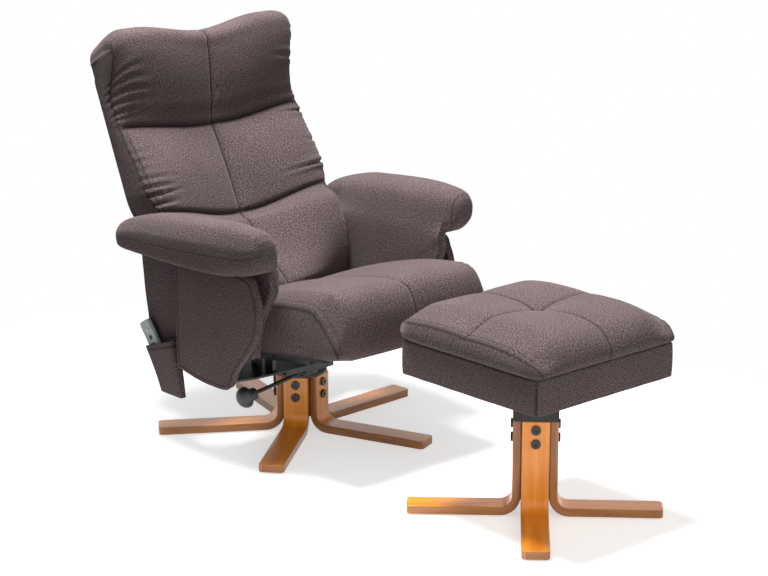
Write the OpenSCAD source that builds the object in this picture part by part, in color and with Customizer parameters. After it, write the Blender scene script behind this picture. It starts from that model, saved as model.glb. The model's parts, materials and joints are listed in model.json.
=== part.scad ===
// Swivel recliner with a separate storage footstool.
// +Z is up, the sitter faces -Y, and the origin is on the floor under the swivel axis.

/* [Chair base] */
// Width of one bent wood leg
leg_w = 64; // [52:1:64]
// Thickness of the laminated wood
leg_t = 20; // [16:1:24]
// Inner radius of the bend between post and foot
leg_bend_r = 28; // [20:1:36]
// Radius of the circle through the foot tips
base_reach = 367; // [320:1:400]
// Height of the leg tops above the floor
base_h = 150; // [140:1:170]
// Heading of the first leg, in degrees
base_heading = 218.5; // [205:0.5:230]

/* [Seat] */
// Half width of the seat cushion
seat_half_w = 256; // [240:1:256]
// Length of the seat from the crease to the nose
seat_len = 482; // [455:1:505]
// Thickness of the seat cushion at its crown seam
seat_thick = 143; // [125:1:155]
// Slope of the seat, front edge up, in degrees
seat_tilt = 8; // [6:0.1:9.5]
// Height of the seat plane above the floor, under the crease
seat_plane_z = 260; // [258:1:268]
// Travel of the seat on its runners
seat_travel = 45; // [20:1:60]

/* [Backrest] */
// Height of the recline pivot above the floor
pivot_z = 257; // [254:1:262]
// Distance of the recline pivot behind the swivel axis
pivot_y = 183; // [181:1:188]
// Lean of the backrest at rest, in degrees
back_tilt = 23.5; // [22:0.1:25]
// Length of the back cushion
back_len = 709; // [670:1:750]
// Half width of the back at the head
head_half_w = 290; // [275:1:296]
// Half width of the back between the arms
waist_half_w = 255; // [245:1:256]
// Reach of the back cushion's foot in front of the pivot
back_depth = 182; // [174:1:186]
// Height of a stuffed panel above its seams
back_puff = 24; // [16:1:30]

/* [Arms] */
// Distance from the middle to an arm's inner face
arm_inner_x = 261; // [261:1:280]
// Thickness of the padded inner panel
arm_panel_t = 26; // [22:1:32]
// Height of the flat underside of the arm pad
arm_under_z = 495; // [490:1:520]
// Thickness of the arm pad at its middle
arm_pad_h = 122; // [105:1:132]
// Width of the arm pad, from the arm's inner face outwards
arm_pad_w = 141; // [128:1:150]
// Reach of the arm pad in front of the swivel axis
arm_front = 272; // [262:1:285]
// Reach of the arm pad behind the swivel axis
arm_rear = 260; // [245:1:270]

/* [Footstool] */
// Distance of the footstool from the swivel axis, sideways
stool_x = 4; // [-40:1:40]
// Distance of the footstool from the swivel axis, along Y
stool_y = -836; // [-900:1:-800]
// Heading of the footstool, in degrees
stool_yaw = 0; // [-12:1:12]
// Half width of the storage box, across the chair
stool_half_x = 222; // [200:1:240]
// Half depth of the storage box, along the chair
stool_half_y = 214; // [200:1:230]
// Height of the storage box's underside
stool_floor_z = 335; // [320:1:350]
// Height of the storage box
stool_box_h = 80; // [70:1:110]
// Height of the lid cushion at the stuffed quarters
stool_pad_h = 99; // [84:1:112]
// Radius of the circle through the footstool's foot tips
stool_reach = 296; // [260:1:320]
// Height of the footstool's leg tops
stool_leg_h = 239; // [220:1:260]

/* [Hidden] */

// Finishes, as the photograph shows them.
fabric_colour = [0.30, 0.25, 0.245];
honey_colour = [0.78, 0.50, 0.26];
plywood_colour = [0.76, 0.64, 0.46];
black_colour = [0.06, 0.06, 0.065];
steel_colour = [0.55, 0.56, 0.58];
silver_colour = [0.52, 0.57, 0.57];

// One overrun for every cut, one running fit, and the gap where soft or flat pieces meet.
cut = 1;
run_fit = 0.05;
soft_gap = 0.3;
glue_gap = 0.05;
round_fn = 48;

// Legs, glides and bolts, shared by the chair and the footstool.
base_legs = 5;
stool_legs = 4;
glide_t = 3;
glide_r = 14;
glide_inset = 40;
tip_r = 12;
bolt_r = 4;
bolt_hole_clear = 0.15;
bolt_head_r = 11;
bolt_head_t = 5;
bolt_socket_r = 4;
bolt_socket_deep = 3;
bolt_len = 30;
bolt_drop = 20;
bolt_pitch = 33;
hub_wall = 4;
hub_plate_t = 8;
hub_low_z = 42;
leg_side_gap = 0.35;

// Swivel bearing, from the hub plate up.
spindle_r = 12;
spindle_boss_r = 20;
spindle_boss_len = 38;
race_in_r = 15;
race_out_r = 34;
race_t = 5;
race_gap = 5;
ball_r = 3;
ball_ring_r = 25;
ball_count = 18;
ball_groove_clear = 0.1;
cap_t = 6;
cap_lip = 3;
clip_r = 17;
clip_t = 4;
clip_gap = 0.5;
spindle_head_r = 30;

// Swivel mechanism and cross carrier.
mech_half_w = 60;
mech_front = 60;
mech_rear = 180;
mech_h = 44;
mech_wall = 4;
carrier_t = 5;
carrier_front = 130;
carrier_flange = 12;
side_plate_t = 5;
side_plate_top_z = 440;
ear_t = 6;
ear_r = 20;
ear_x = 152;
pin_r = 6;
pin_head_r = 9;
pin_head_t = 4;
back_arm_t = 6;
ear_gap = 0.5;

// Seat runners, slides and board, in the tilted seat frame.
board_t = 15;
seat_board_half_w = 225;
seat_board_rear = 12;
seat_board_front = 400;
rail_x = 185;
slide_web = 3;
slide_lip_h = 3;
slide_rear = 60;
slide_front = 300;
slot_half_w = 7;
runner_half_w = 10;
runner_h = 12;
runner_rear = 8;
slide_grip = 117;
runner_stand_half_w = 5;
runner_stand_len = 30;
runner_stand_shares = [0.3, 0.55];
rail_clear = 0.3;
motor_r = 34;
motor_h = 21;
motor_clear = 0.3;
seat_motor_x = 95;
seat_motor_f = 150;

// Backrest layers, measured from the pivot.
back_lift = 38;
cover_t = 5;
back_board_t = 12;
back_board_inset = 6;
rigid_back_share = 0.955;
waist_top_share = 0.27;
flare_share = 0.2;
back_arm_x = ear_x + ear_t + ear_gap;
back_arm_w = 40;
back_arm_top = 260;
back_arm_eye_r = 17;
back_motor_r = 32;
back_motor_t = 11;
back_motor_x = 120;
back_motor_h_shares = [0.27, 0.53];

// Arms, side boards and pocket.
arm_board_t = 12;
arm_board_front = 150;
arm_board_rear = 200;
arm_board_low_z = 300;
panel_front = 236;
panel_rear = 204;
panel_low_z = 280;
panel_turn_low = 20;
shield_t = 22;
shield_rear = 93;
shield_low_z = 190;
shield_front = 231;
rear_panel_t = 10;
rear_panel_gap = 2;
rear_panel_rear = 245;
rear_panel_waist_z = 323;
pocket_mouth_z = 271;
pocket_mouth_drop = 35;
pocket_low_z = 120;
pocket_low_front = 88;
pocket_low_rear = 173;
pocket_mouth_front = 106;
pocket_mouth_rear = 212;
pocket_low_t = 18;
pocket_mouth_t = 38;
pocket_wall = 3;

// Control box of the massage motors.
control_half_w = 60;
control_len = 76;
control_gap = 6;
control_h = 24;
inlet_r = 2.8;
inlet_deep = 10;
socket_boss_r = 6;
control_socket_shares = [-0.5, 0.5];

// Recline knob and its rod.
knob_y = 100;
knob_z = 187;
knob_reach = 173;
knob_r = 27;
knob_len = 50;
knob_stem_r = 15;
knob_stem_len = 14;
rod_r = 5;
rod_drop = 8;
rod_bracket_len = 38;
rod_bracket_out = 14;
rod_bracket_half = 12;
rod_bracket_low = 10;

// Remote control.
remote_w = 40;
remote_len = 132;
remote_t = 17;
remote_corner = 8;
remote_shell = 2;
remote_split = 0.2;
remote_tilt = 31;
remote_lean = 6;
remote_foot_y = 150;
remote_foot_z = 188;
remote_foot_x = 311.4;
button_r = 5.5;
button_proud = 1.6;
button_clear = 0.25;
button_foot = 1;
button_first = 26;
button_pitch = 20;

// Footstool.
stool_flange_half = 90;
stool_flange_t = 5;
stool_neck_wall = 4;
box_wall = 12;
box_floor_t = 10;
box_skin = 5;
lid_t = 12;
lid_inset = 10;
lid_gap = 0.5;
batten_w = 18;
batten_h = 12;
batten_clear = 3;
lid_band_h = 44;
lid_overhang = 5;
lid_tuft = 30;
lid_corner_r = 26;

// Shapes that follow from the sizes above. The runner still fills slide_grip of the channel when the
// seat is at the end of its travel.
runner_front = slide_rear + seat_travel + slide_grip;
hub_in_r = (leg_w / 2 + leg_side_gap) / tan(180 / base_legs);
stool_in_r = (leg_w / 2 + leg_side_gap) / tan(180 / stool_legs);
hub_top_z = base_h;
race_z = hub_top_z;
ball_z = race_z + race_t + race_gap / 2;
upper_race_z = race_z + race_t + race_gap;
mech_z = upper_race_z + race_t;
carrier_z = mech_z + mech_h;
arm_board_x = arm_inner_x + arm_panel_t;
side_plate_x = arm_board_x + arm_board_t;
shield_x = side_plate_x + side_plate_t;
lid_z = stool_floor_z + stool_box_h;
lid_half_x = stool_half_x + lid_overhang;
lid_half_y = stool_half_y + lid_overhang;

// Helpers shared by the pieces.

// A closed solid through rings of equally many points. Each end is a fan about a middle point,
// or strips from the first half of its ring to the second.
module loft(rings, strips = false) {
    n = len(rings[0]);
    last = (len(rings) - 1) * n;
    middles = strips ? [] : [mean(rings[0]), mean(rings[len(rings) - 1])];
    points = concat([for (r = rings) each r], middles);
    sides = [for (i = [0 : n : last - n], j = [0 : n - 1]) each quad(i + j, i + (j + 1) % n, n)];
    start = strips ? rungs(n) : [for (j = [0 : n - 1]) [last + n, j, (j + 1) % n]];
    end = strips ? rungs(n) : [for (j = [0 : n - 1]) [n + 1, j, (j + 1) % n]];
    faces = concat(sides, [for (f = start) [f[0], f[2], f[1]]], [for (f = end) f + [last, last, last]]);
    polyhedron(points, faces, convexity = 6);
}

// Triangles between the first half of a ring of n points and the second half.
function rungs(n) = [
    for (i = [0 : n / 2 - 1]) each concat(
        i < n / 2 - 1 ? [[i, i + 1, n - i - 1]] : [],
        i > 0 ? [[i, n - i - 1, (n - i) % n]] : []
    )
];
function quad(a, b, n) = [[a, b, a + n], [b, b + n, a + n]];
function mean(list) = [for (k = [0 : 2]) sum([for (p = list) p[k]]) / len(list)];
function sum(v, i = 0) = i < len(v) ? v[i] + sum(v, i + 1) : 0;
function smooth(x) = let (c = min(1, max(0, x))) c * c * (3 - 2 * c);
function mix(a, b, k) = a + (b - a) * k;
// Swelling of a stuffed panel between two seams, 0 at u = 0 and 1, and 1 in the middle.
function swell(u) = pow(max(0, sin(180 * min(1, max(0, u)))), 0.6);

// Extrudes an outline drawn in the Y-Z plane towards +X, from x0 over a thickness t.
module yz_plate(x0, t) {
    translate([x0, 0, 0]) rotate([90, 0, 90]) linear_extrude(t) children();
}

// Draws its children on the sitter's left at +X, or mirrored to the right.
module side(right) {
    mirror([right ? 1 : 0, 0, 0]) children();
}

module tube(r_out, r_in, h) {
    difference() {
        cylinder(r = r_out, h = h, $fn = round_fn);
        translate([0, 0, -cut]) cylinder(r = r_in, h = h + 2 * cut, $fn = round_fn);
    }
}

// Legs and hubs, which the chair and the footstool share.

module leg_profile(in_r, top_z, reach) {
    out_r = in_r + leg_t;
    foot_z = glide_t + leg_t;
    bend = leg_bend_r + leg_t;
    translate([in_r, foot_z + leg_bend_r]) square([leg_t, top_z - foot_z - leg_bend_r]);
    translate([out_r + leg_bend_r, glide_t]) square([reach - out_r - leg_bend_r, leg_t]);
    translate([out_r + leg_bend_r, foot_z + leg_bend_r]) intersection() {
        difference() {
            circle(r = bend, $fn = round_fn);
            circle(r = leg_bend_r, $fn = round_fn);
        }
        translate([-bend - cut, -bend - cut]) square(bend + cut);
    }
}

module leg(in_r, top_z, reach) {
    tip_x = reach - tip_r;
    difference() {
        intersection() {
            rotate([90, 0, 0]) translate([0, 0, -leg_w / 2]) linear_extrude(leg_w)
                leg_profile(in_r, top_z, reach);
            linear_extrude(top_z + cut) union() {
                translate([0, -leg_w / 2]) square([tip_x, leg_w]);
                translate([tip_x - cut, tip_r - leg_w / 2]) square([tip_r + cut, leg_w - 2 * tip_r]);
                for (s = [-1, 1]) translate([tip_x, s * (leg_w / 2 - tip_r)])
                    circle(r = tip_r, $fn = round_fn);
            }
        }
        for (i = [0, 1]) translate([in_r - cut, 0, top_z - bolt_drop - i * bolt_pitch])
            rotate([0, 90, 0])
                cylinder(r = bolt_r + bolt_hole_clear, h = leg_t + 2 * cut, $fn = round_fn);
    }
}

module leg_bolt() {
    difference() {
        union() {
            translate([-bolt_len, 0, 0]) rotate([0, 90, 0])
                cylinder(r = bolt_r, h = bolt_len, $fn = round_fn);
            rotate([0, 90, 0]) cylinder(r = bolt_head_r, h = bolt_head_t, $fn = round_fn);
        }
        translate([bolt_head_t - bolt_socket_deep, 0, 0]) rotate([0, 90, 0])
            cylinder(r = bolt_socket_r, h = bolt_socket_deep + cut, $fn = 6);
    }
}

module bolt_set(legs, heading, in_r, top_z) {
    for (k = [0 : legs - 1], i = [0, 1]) rotate(heading + k * 360 / legs)
        translate([in_r + leg_t, 0, top_z - bolt_drop - i * bolt_pitch]) leg_bolt();
}

module glide_set(legs, heading, reach) {
    for (k = [0 : legs - 1]) rotate(heading + k * 360 / legs)
        translate([reach - glide_inset, 0, 0]) cylinder(r = glide_r, h = glide_t, $fn = round_fn);
}

// The hub is a steel tube with one flat face behind each leg.
module hub_tube(legs, in_r, top_z, low_z) {
    outer = in_r / cos(180 / legs);
    difference() {
        translate([0, 0, low_z]) rotate(180 / legs) cylinder(r = outer, h = top_z - low_z, $fn = legs);
        translate([0, 0, low_z - cut]) rotate(180 / legs)
            cylinder(r = (in_r - hub_wall) / cos(180 / legs), h = top_z - low_z - hub_plate_t + cut,
                $fn = legs);
        for (k = [0 : legs - 1], i = [0, 1]) rotate(k * 360 / legs)
            translate([in_r - hub_wall - cut, 0, top_z - bolt_drop - i * bolt_pitch])
                rotate([0, 90, 0])
                    cylinder(r = bolt_r + bolt_hole_clear, h = hub_wall + 2 * cut, $fn = round_fn);
    }
}

module hub_post() {
    color(black_colour) difference() {
        union() {
            rotate(base_heading) hub_tube(base_legs, hub_in_r, hub_top_z, hub_low_z);
            translate([0, 0, hub_top_z - hub_plate_t - spindle_boss_len])
                cylinder(r = spindle_boss_r, h = spindle_boss_len + hub_plate_t / 2, $fn = round_fn);
        }
        translate([0, 0, hub_top_z - hub_plate_t - spindle_boss_len - cut])
            cylinder(r = spindle_r + run_fit, h = spindle_boss_len + hub_plate_t + 2 * cut,
                $fn = round_fn);
    }
}

module base_leg(k) {
    color(honey_colour) rotate(base_heading + (k - 1) * 360 / base_legs)
        leg(hub_in_r, base_h, base_reach);
}
module base_leg_1() { base_leg(1); }
module base_leg_2() { base_leg(2); }
module base_leg_3() { base_leg(3); }
module base_leg_4() { base_leg(4); }
module base_leg_5() { base_leg(5); }
module base_bolts() { color(black_colour) bolt_set(base_legs, base_heading, hub_in_r, base_h); }
module base_glides() { color(black_colour) glide_set(base_legs, base_heading, base_reach); }

// The cap covers the leg tops around the bearing.
module hub_cap() {
    color(black_colour) translate([0, 0, hub_top_z])
        tube(hub_in_r + leg_t + cap_lip, race_out_r + cap_lip, cap_t);
}

module ball_groove() {
    translate([0, 0, ball_z]) rotate_extrude($fn = round_fn) translate([ball_ring_r, 0])
        circle(r = ball_r + ball_groove_clear, $fn = 32);
}
module race(z) {
    difference() {
        translate([0, 0, z]) tube(race_out_r, race_in_r, race_t);
        ball_groove();
    }
}
module bearing_lower_race() { color(steel_colour) race(race_z); }
module bearing_upper_race() { color(steel_colour) race(upper_race_z); }
module bearing_balls() {
    color(steel_colour) for (k = [0 : ball_count - 1]) rotate(k * 360 / ball_count)
        translate([ball_ring_r, 0, ball_z]) sphere(r = ball_r, $fn = 32);
}

// The swivel mechanism, its spindle and what it carries.
module swivel_spindle() {
    low_z = hub_top_z - hub_plate_t - spindle_boss_len - clip_gap;
    top_z = mech_z + mech_wall;
    color(steel_colour) union() {
        translate([0, 0, low_z - clip_t]) cylinder(r = spindle_r, h = top_z - low_z + clip_t,
            $fn = round_fn);
        translate([0, 0, low_z - clip_t]) cylinder(r = clip_r, h = clip_t, $fn = round_fn);
        translate([0, 0, top_z]) cylinder(r = spindle_head_r, h = mech_wall, $fn = round_fn);
    }
}

module hinge_ear() {
    yz_plate(ear_x, ear_t) difference() {
        union() {
            translate([pivot_y, pivot_z]) circle(r = ear_r, $fn = round_fn);
            translate([pivot_y - ear_r, carrier_z]) square([2 * ear_r, pivot_z - carrier_z]);
        }
        translate([pivot_y, pivot_z]) circle(r = pin_r + run_fit, $fn = round_fn);
    }
}

// The knob's rod leaves its bracket outwards, and a little down.
module knob_frame() {
    translate([-mech_half_w, -knob_y, knob_z]) rotate([0, -90 - rod_drop, 0]) children();
}
module mechanism_box() {
    length = mech_front + mech_rear;
    color(black_colour) difference() {
        union() {
            difference() {
                translate([-mech_half_w, -mech_front, mech_z]) cube([2 * mech_half_w, length, mech_h]);
                translate([mech_wall - mech_half_w, mech_wall - mech_front, mech_z + mech_wall])
                    cube([2 * (mech_half_w - mech_wall), length - 2 * mech_wall, mech_h - 2 * mech_wall]);
            }
            // The rear cross plate with the hinge ears of the backrest.
            translate([-ear_x - ear_t, pivot_y - ear_r, carrier_z])
                cube([2 * (ear_x + ear_t), 2 * ear_r, carrier_t]);
            for (right = [true, false]) side(right) hinge_ear();
            // The bracket that guides the knob's rod.
            translate([-mech_half_w - rod_bracket_out, -knob_y - rod_bracket_half,
                knob_z - rod_bracket_low])
                cube([rod_bracket_len, knob_y + rod_bracket_half - mech_front + mech_wall / 2,
                    carrier_z - knob_z + rod_bracket_low]);
        }
        translate([0, 0, mech_z - cut]) cylinder(r = spindle_r + run_fit, h = mech_wall + 2 * cut,
            $fn = round_fn);
        knob_frame() translate([0, 0, -rod_bracket_len])
            cylinder(r = rod_r + run_fit, h = 2 * rod_bracket_len, $fn = round_fn);
    }
}

// Half the plate's outline, from its front edge round its end to its rear edge.
carrier_outline_shares = [
    [0.49, -1.05], [0.82, -0.99], [1, -0.89], [1, -0.65], [0.73, -0.18], [0.49, 0.09]
];
module cross_carrier() {
    half = [for (p = carrier_outline_shares) [p[0] * side_plate_x, p[1] * carrier_front]];
    other = [for (i = [len(half) - 1 : -1 : 0]) [-half[i][0], half[i][1]]];
    color(black_colour) union() {
        translate([0, 0, carrier_z]) linear_extrude(carrier_t) polygon(concat(half, other));
        // Stiffening flanges turned down in front of the mechanism box, beside it.
        for (right = [true, false]) side(right)
            translate([mech_half_w, -carrier_front, carrier_z - carrier_flange])
                cube([side_plate_x / 2 - mech_half_w, carrier_t, carrier_flange + carrier_t / 2]);
    }
}

// A steel upright, from the carrier's end to the arm board, as [y, z] shares.
side_plate_shares = [
    [-0.89, 0], [-0.65, 0], [-0.4, 0.25], [0.3, 0.45], [0.3, 1], [-1.15, 1], [-1.15, 0.45]
];
module side_plate(right) {
    color(black_colour) side(right) yz_plate(side_plate_x, side_plate_t) polygon([
        for (p = side_plate_shares)
            [p[0] * carrier_front, carrier_z + p[1] * (side_plate_top_z - carrier_z)]
    ]);
}
module right_side_plate() { side_plate(true); }
module left_side_plate() { side_plate(false); }

module hinge_pins() {
    outer_x = back_arm_x + back_arm_t + ear_gap;
    color(steel_colour) for (right = [true, false]) side(right)
        translate([0, pivot_y, pivot_z]) rotate([0, 90, 0]) union() {
            translate([0, 0, ear_x - pin_head_t])
                cylinder(r = pin_r, h = outer_x + 2 * pin_head_t - ear_x, $fn = round_fn);
            translate([0, 0, ear_x - pin_head_t])
                cylinder(r = pin_head_r, h = pin_head_t, $fn = round_fn);
            translate([0, 0, outer_x]) cylinder(r = pin_head_r, h = pin_head_t, $fn = round_fn);
        }
}

// The seat slides in a plane that rises to the front: f runs forward along it, n stands off it.
seat_y = 33;
function seat_yz(f, n) = [
    seat_y - f * cos(seat_tilt) + n * sin(seat_tilt),
    seat_plane_z + f * sin(seat_tilt) + n * cos(seat_tilt)
];
module seat_frame() { translate([0, seat_y, seat_plane_z]) rotate([-seat_tilt, 0, 0]) children(); }
// A block in the seat's frame, from f0 to f1 and from n0 to n1, over the half width w about x.
module seat_block(x, w, f0, f1, n0, n1) {
    translate([x - w, -f1, n0]) cube([2 * w, f1 - f0, n1 - n0]);
}

module seat_runners() {
    top = -board_t - slide_web - rail_clear;
    low = top - runner_h;
    foot_z = carrier_z + carrier_t;
    color(black_colour) for (right = [true, false]) side(right) {
        seat_frame() seat_block(rail_x, runner_half_w, runner_rear, runner_front, low, top);
        for (f = runner_stand_shares * runner_front)
            translate([rail_x - runner_stand_half_w, 0, 0])
                yz_plate(0, 2 * runner_stand_half_w) polygon([
                    seat_yz(f, low + runner_h / 2),
                    seat_yz(f + runner_stand_len, low + runner_h / 2),
                    [seat_yz(f + runner_stand_len, low)[0], foot_z],
                    [seat_yz(f, low)[0], foot_z]
                ]);
    }
}

module seat_slides() {
    half_w = runner_half_w + rail_clear + slide_web;
    in_low = -board_t - slide_web - 2 * rail_clear - runner_h;
    color(steel_colour) seat_frame() for (right = [true, false]) side(right) difference() {
        seat_block(rail_x, half_w, slide_rear, slide_front, in_low - slide_lip_h, -board_t);
        seat_block(rail_x, half_w - slide_web, slide_rear - cut, slide_front + cut, in_low,
            -board_t - slide_web);
        seat_block(rail_x, slot_half_w, slide_rear - cut, slide_front + cut,
            in_low - slide_lip_h - cut, in_low + cut);
    }
}

module seat_motor_at(x) { translate([x, -seat_motor_f, -motor_h]) children(); }
module seat_board() {
    color(plywood_colour) seat_frame() difference() {
        seat_block(0, seat_board_half_w, seat_board_rear, seat_board_front, -board_t, 0);
        for (x = [-seat_motor_x, seat_motor_x]) seat_motor_at(x)
            cylinder(r = motor_r + motor_clear, h = motor_h + cut, $fn = round_fn);
    }
}
module seat_motors() {
    color(black_colour) seat_frame() for (x = [-seat_motor_x, seat_motor_x]) seat_motor_at(x)
        cylinder(r = motor_r, h = motor_h, $fn = round_fn);
}

// A smooth curve through points, with m steps from each to the next.
function bend(a, b, c, d, t) = (2 * b + (c - a) * t + (2 * a - 5 * b + 4 * c - d) * t * t
    + (3 * b - a - 3 * c + d) * t * t * t) / 2;
function closed_curve(p, m) =
    let (k = len(p))
    [for (i = [0 : k - 1], j = [0 : m - 1]) bend(p[(i + k - 1) % k], p[i], p[(i + 1) % k],
        p[(i + 2) % k], j / m)];
function open_curve(p, m) =
    let (k = len(p) - 1)
    concat(
        [for (i = [0 : k - 1], j = [0 : m - 1]) bend(p[max(0, i - 1)], p[i], p[i + 1],
            p[min(k, i + 2)], j / m)],
        [p[k]]
    );
function mix_points(a, b, k) = [for (i = [0 : len(a) - 1]) a[i] + (b[i] - a[i]) * k];
// Stations across a cushion, as shares of its half width, mirrored about its middle.
function both_ways(list) = concat([for (i = [len(list) - 1 : -1 : 1]) -list[i]], list);

// The seat's outline at its middle seam and at its sides, as [f, n] shares of length and thickness.
seat_middle_shares = [
    [0, 0], [0.45, 0], [0.88, 0], [0.95, -0.07], [0.985, 0.1], [1, 0.42], [0.993, 0.68], [0.965, 0.89],
    [0.92, 0.985], [0.84, 1], [0.6, 0.968], [0.32, 0.87], [0.15, 0.78], [0.03, 0.71], [0, 0.62]
];
seat_side_shares = [
    [0, 0], [0.45, 0], [0.86, 0], [0.93, -0.02], [0.965, 0.01], [0.985, 0.1], [0.975, 0.26],
    [0.923, 0.49], [0.875, 0.68], [0.8, 0.81], [0.6, 0.83], [0.34, 0.79], [0.16, 0.75], [0.03, 0.71],
    [0, 0.62]
];
seat_station_shares = [0, 0.04, 0.12, 0.28, 0.5, 0.7, 0.84, 0.92, 0.97, 1];
seat_puff = 21;
seat_edge_share = 0.86;
seat_draw = 5;
module seat_cushion() {
    rings = [for (u = both_ways(seat_station_shares))
        let (
            k = smooth((abs(u) - seat_edge_share) / (1 - seat_edge_share)),
            line = closed_curve(mix_points(seat_middle_shares, seat_side_shares, k), 3),
            drawn = abs(u) > 0.99 ? seat_draw : 0
        )
        [for (p = line)
            let (
                stuffed = seat_puff * pow(swell(abs(u)), 0.6) * swell((p[0] - 0.02) / 1.02)
                    * smooth((p[1] - 0.3) / 0.3),
                nose = seat_puff / 2 * swell(abs(u)) * smooth((p[0] - 0.9) / 0.08),
                f = p[0] * seat_len + nose - drawn * smooth((p[0] - 0.5) / 0.4),
                n = p[1] * seat_thick + stuffed - drawn * smooth((p[1] - 0.3) / 0.3)
            )
            [u * seat_half_w, -max(0, f), f < seat_board_front + 2 * board_t ? max(glue_gap, n) : n]
        ]
    ];
    color(fabric_colour) seat_frame() loft(rings);
}

// The backrest's frame stands on the pivot: +Z runs up the back and -Y faces the sitter.
module back_frame() { translate([0, pivot_y, pivot_z]) rotate([-back_tilt, 0, 0]) children(); }
board_front_t = back_arm_t / 2 + back_board_t;
rigid_back_len = back_len * rigid_back_share;
// Half width of the back at a share of its length, wider above the arms.
function back_half(s) = mix(waist_half_w, head_half_w, smooth((s - waist_top_share) / flare_share));
back_outline_shares = [0, 0.15, 0.27, 0.31, 0.35, 0.39, 0.43, 0.47, 0.8];
module back_outline(inset, low, high, r) {
    right = [for (s = back_outline_shares)
        [back_half(s) - inset, s == 0 ? low : back_lift + s * back_len]];
    top = [
        for (a = [0 : 15 : 90])
            [back_half(1) - inset - r + r * cos(a), high - r + r * sin(a)]
    ];
    half = concat(right, top);
    polygon(concat(half, [for (i = [len(half) - 1 : -1 : 0]) [-half[i][0], half[i][1]]]));
}
// A slab of the back, from t0 to t1 in front of the pivot.
module back_slab(t0, t1) { translate([0, -t0, 0]) rotate([90, 0, 0]) linear_extrude(t1 - t0) children(); }
module back_motor_at(share, x) { translate([x, -back_arm_t / 2, back_lift + share * back_len]) children(); }

back_corner_r = 48;
module back_board() {
    low = back_lift + back_board_inset;
    high = back_lift + rigid_back_len - back_board_inset;
    color(plywood_colour) back_frame() difference() {
        back_slab(back_arm_t / 2, board_front_t)
            back_outline(back_board_inset, low, high, back_corner_r - back_board_inset);
        for (share = back_motor_h_shares, x = [-back_motor_x, back_motor_x]) back_motor_at(share, x)
            rotate([90, 0, 0]) translate([0, 0, -cut])
                cylinder(r = back_motor_r + motor_clear, h = back_board_t + 2 * cut, $fn = round_fn);
    }
}
module back_motors() {
    color(black_colour) back_frame()
        for (share = back_motor_h_shares, x = [-back_motor_x, back_motor_x]) back_motor_at(share, x)
            rotate([90, 0, 0]) cylinder(r = back_motor_r, h = back_motor_t, $fn = round_fn);
}
module back_cover() {
    low = back_lift;
    high = back_lift + rigid_back_len;
    rear = -back_arm_t / 2 - cover_t;
    wall = back_board_inset - soft_gap;
    color(fabric_colour) back_frame() difference() {
        back_slab(rear, board_front_t) back_outline(0, low, high, back_corner_r);
        back_slab(-back_arm_t / 2, board_front_t + cut)
            back_outline(wall, low + wall, high - wall, back_corner_r - wall);
        // Slots in the lower edge, where the steel arms come out.
        for (right = [true, false]) side(right)
            translate([back_arm_x - ear_gap, -board_front_t - cut, low - cut])
                cube([back_arm_w + 2 * ear_gap, board_front_t + back_arm_t / 2 + cut, wall + 2 * cut]);
    }
}
module back_arms() {
    color(black_colour) back_frame() for (right = [true, false]) side(right) difference() {
        union() {
            translate([back_arm_x, 0, 0]) rotate([0, 90, 0])
                cylinder(r = back_arm_eye_r, h = back_arm_t, $fn = round_fn);
            translate([back_arm_x, -back_arm_eye_r, 0])
                cube([back_arm_t, back_arm_eye_r + back_arm_t / 2, back_lift - ear_gap]);
            translate([back_arm_x, -back_arm_t / 2, ear_r])
                cube([back_arm_w, back_arm_t, back_arm_top - ear_r]);
        }
        translate([back_arm_x - cut, 0, 0]) rotate([0, 90, 0])
            cylinder(r = pin_r + run_fit, h = back_arm_t + 2 * cut, $fn = round_fn);
    }
}

// The back cushion's front at its middle seam and at its sides, from its foot over the head, as
// [h, t] shares of length and depth.
back_middle_shares = [
    [0, 0.1], [0, 0.86], [0.014, 0.97], [0.075, 0.85], [0.13, 0.69], [0.2, 0.57], [0.28, 0.47],
    [0.325, 0.33], [0.5, 0.29], [0.67, 0.245], [0.75, 0.36], [0.83, 0.49], [0.91, 0.6],
    [0.965, 0.65], [0.996, 0.45], [0.985, 0.08]
];
back_side_shares = [
    [0, 0.1], [0, 0.52], [0.03, 0.62], [0.08, 0.75], [0.15, 0.845], [0.22, 0.885], [0.3, 0.84],
    [0.368, 0.55], [0.53, 0.455], [0.702, 0.275], [0.77, 0.345], [0.85, 0.53], [0.915, 0.67],
    [0.965, 0.69], [0.996, 0.45], [0.985, 0.06]
];
back_rear_share = 0.1;
back_rear_even_share = 0.15;
back_row_shares = [0.02, 0.325, 0.67, 0.985];
back_row_rises = [0, 0.043, 0.032, 0];
back_station_shares = [0, 0.05, 0.14, 0.3, 0.5, 0.68, 0.82, 0.9, 0.95, 1];
back_ear_rise = 27;
back_draw = 9;
head_draw = 42;
// Swelling between the row seams, which rise towards the sides.
function row_swell(s, k) = let (rows = back_row_shares + k * back_row_rises)
    max([for (i = [0 : len(rows) - 2]) swell((s - rows[i]) / (rows[i + 1] - rows[i]))]);
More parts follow.
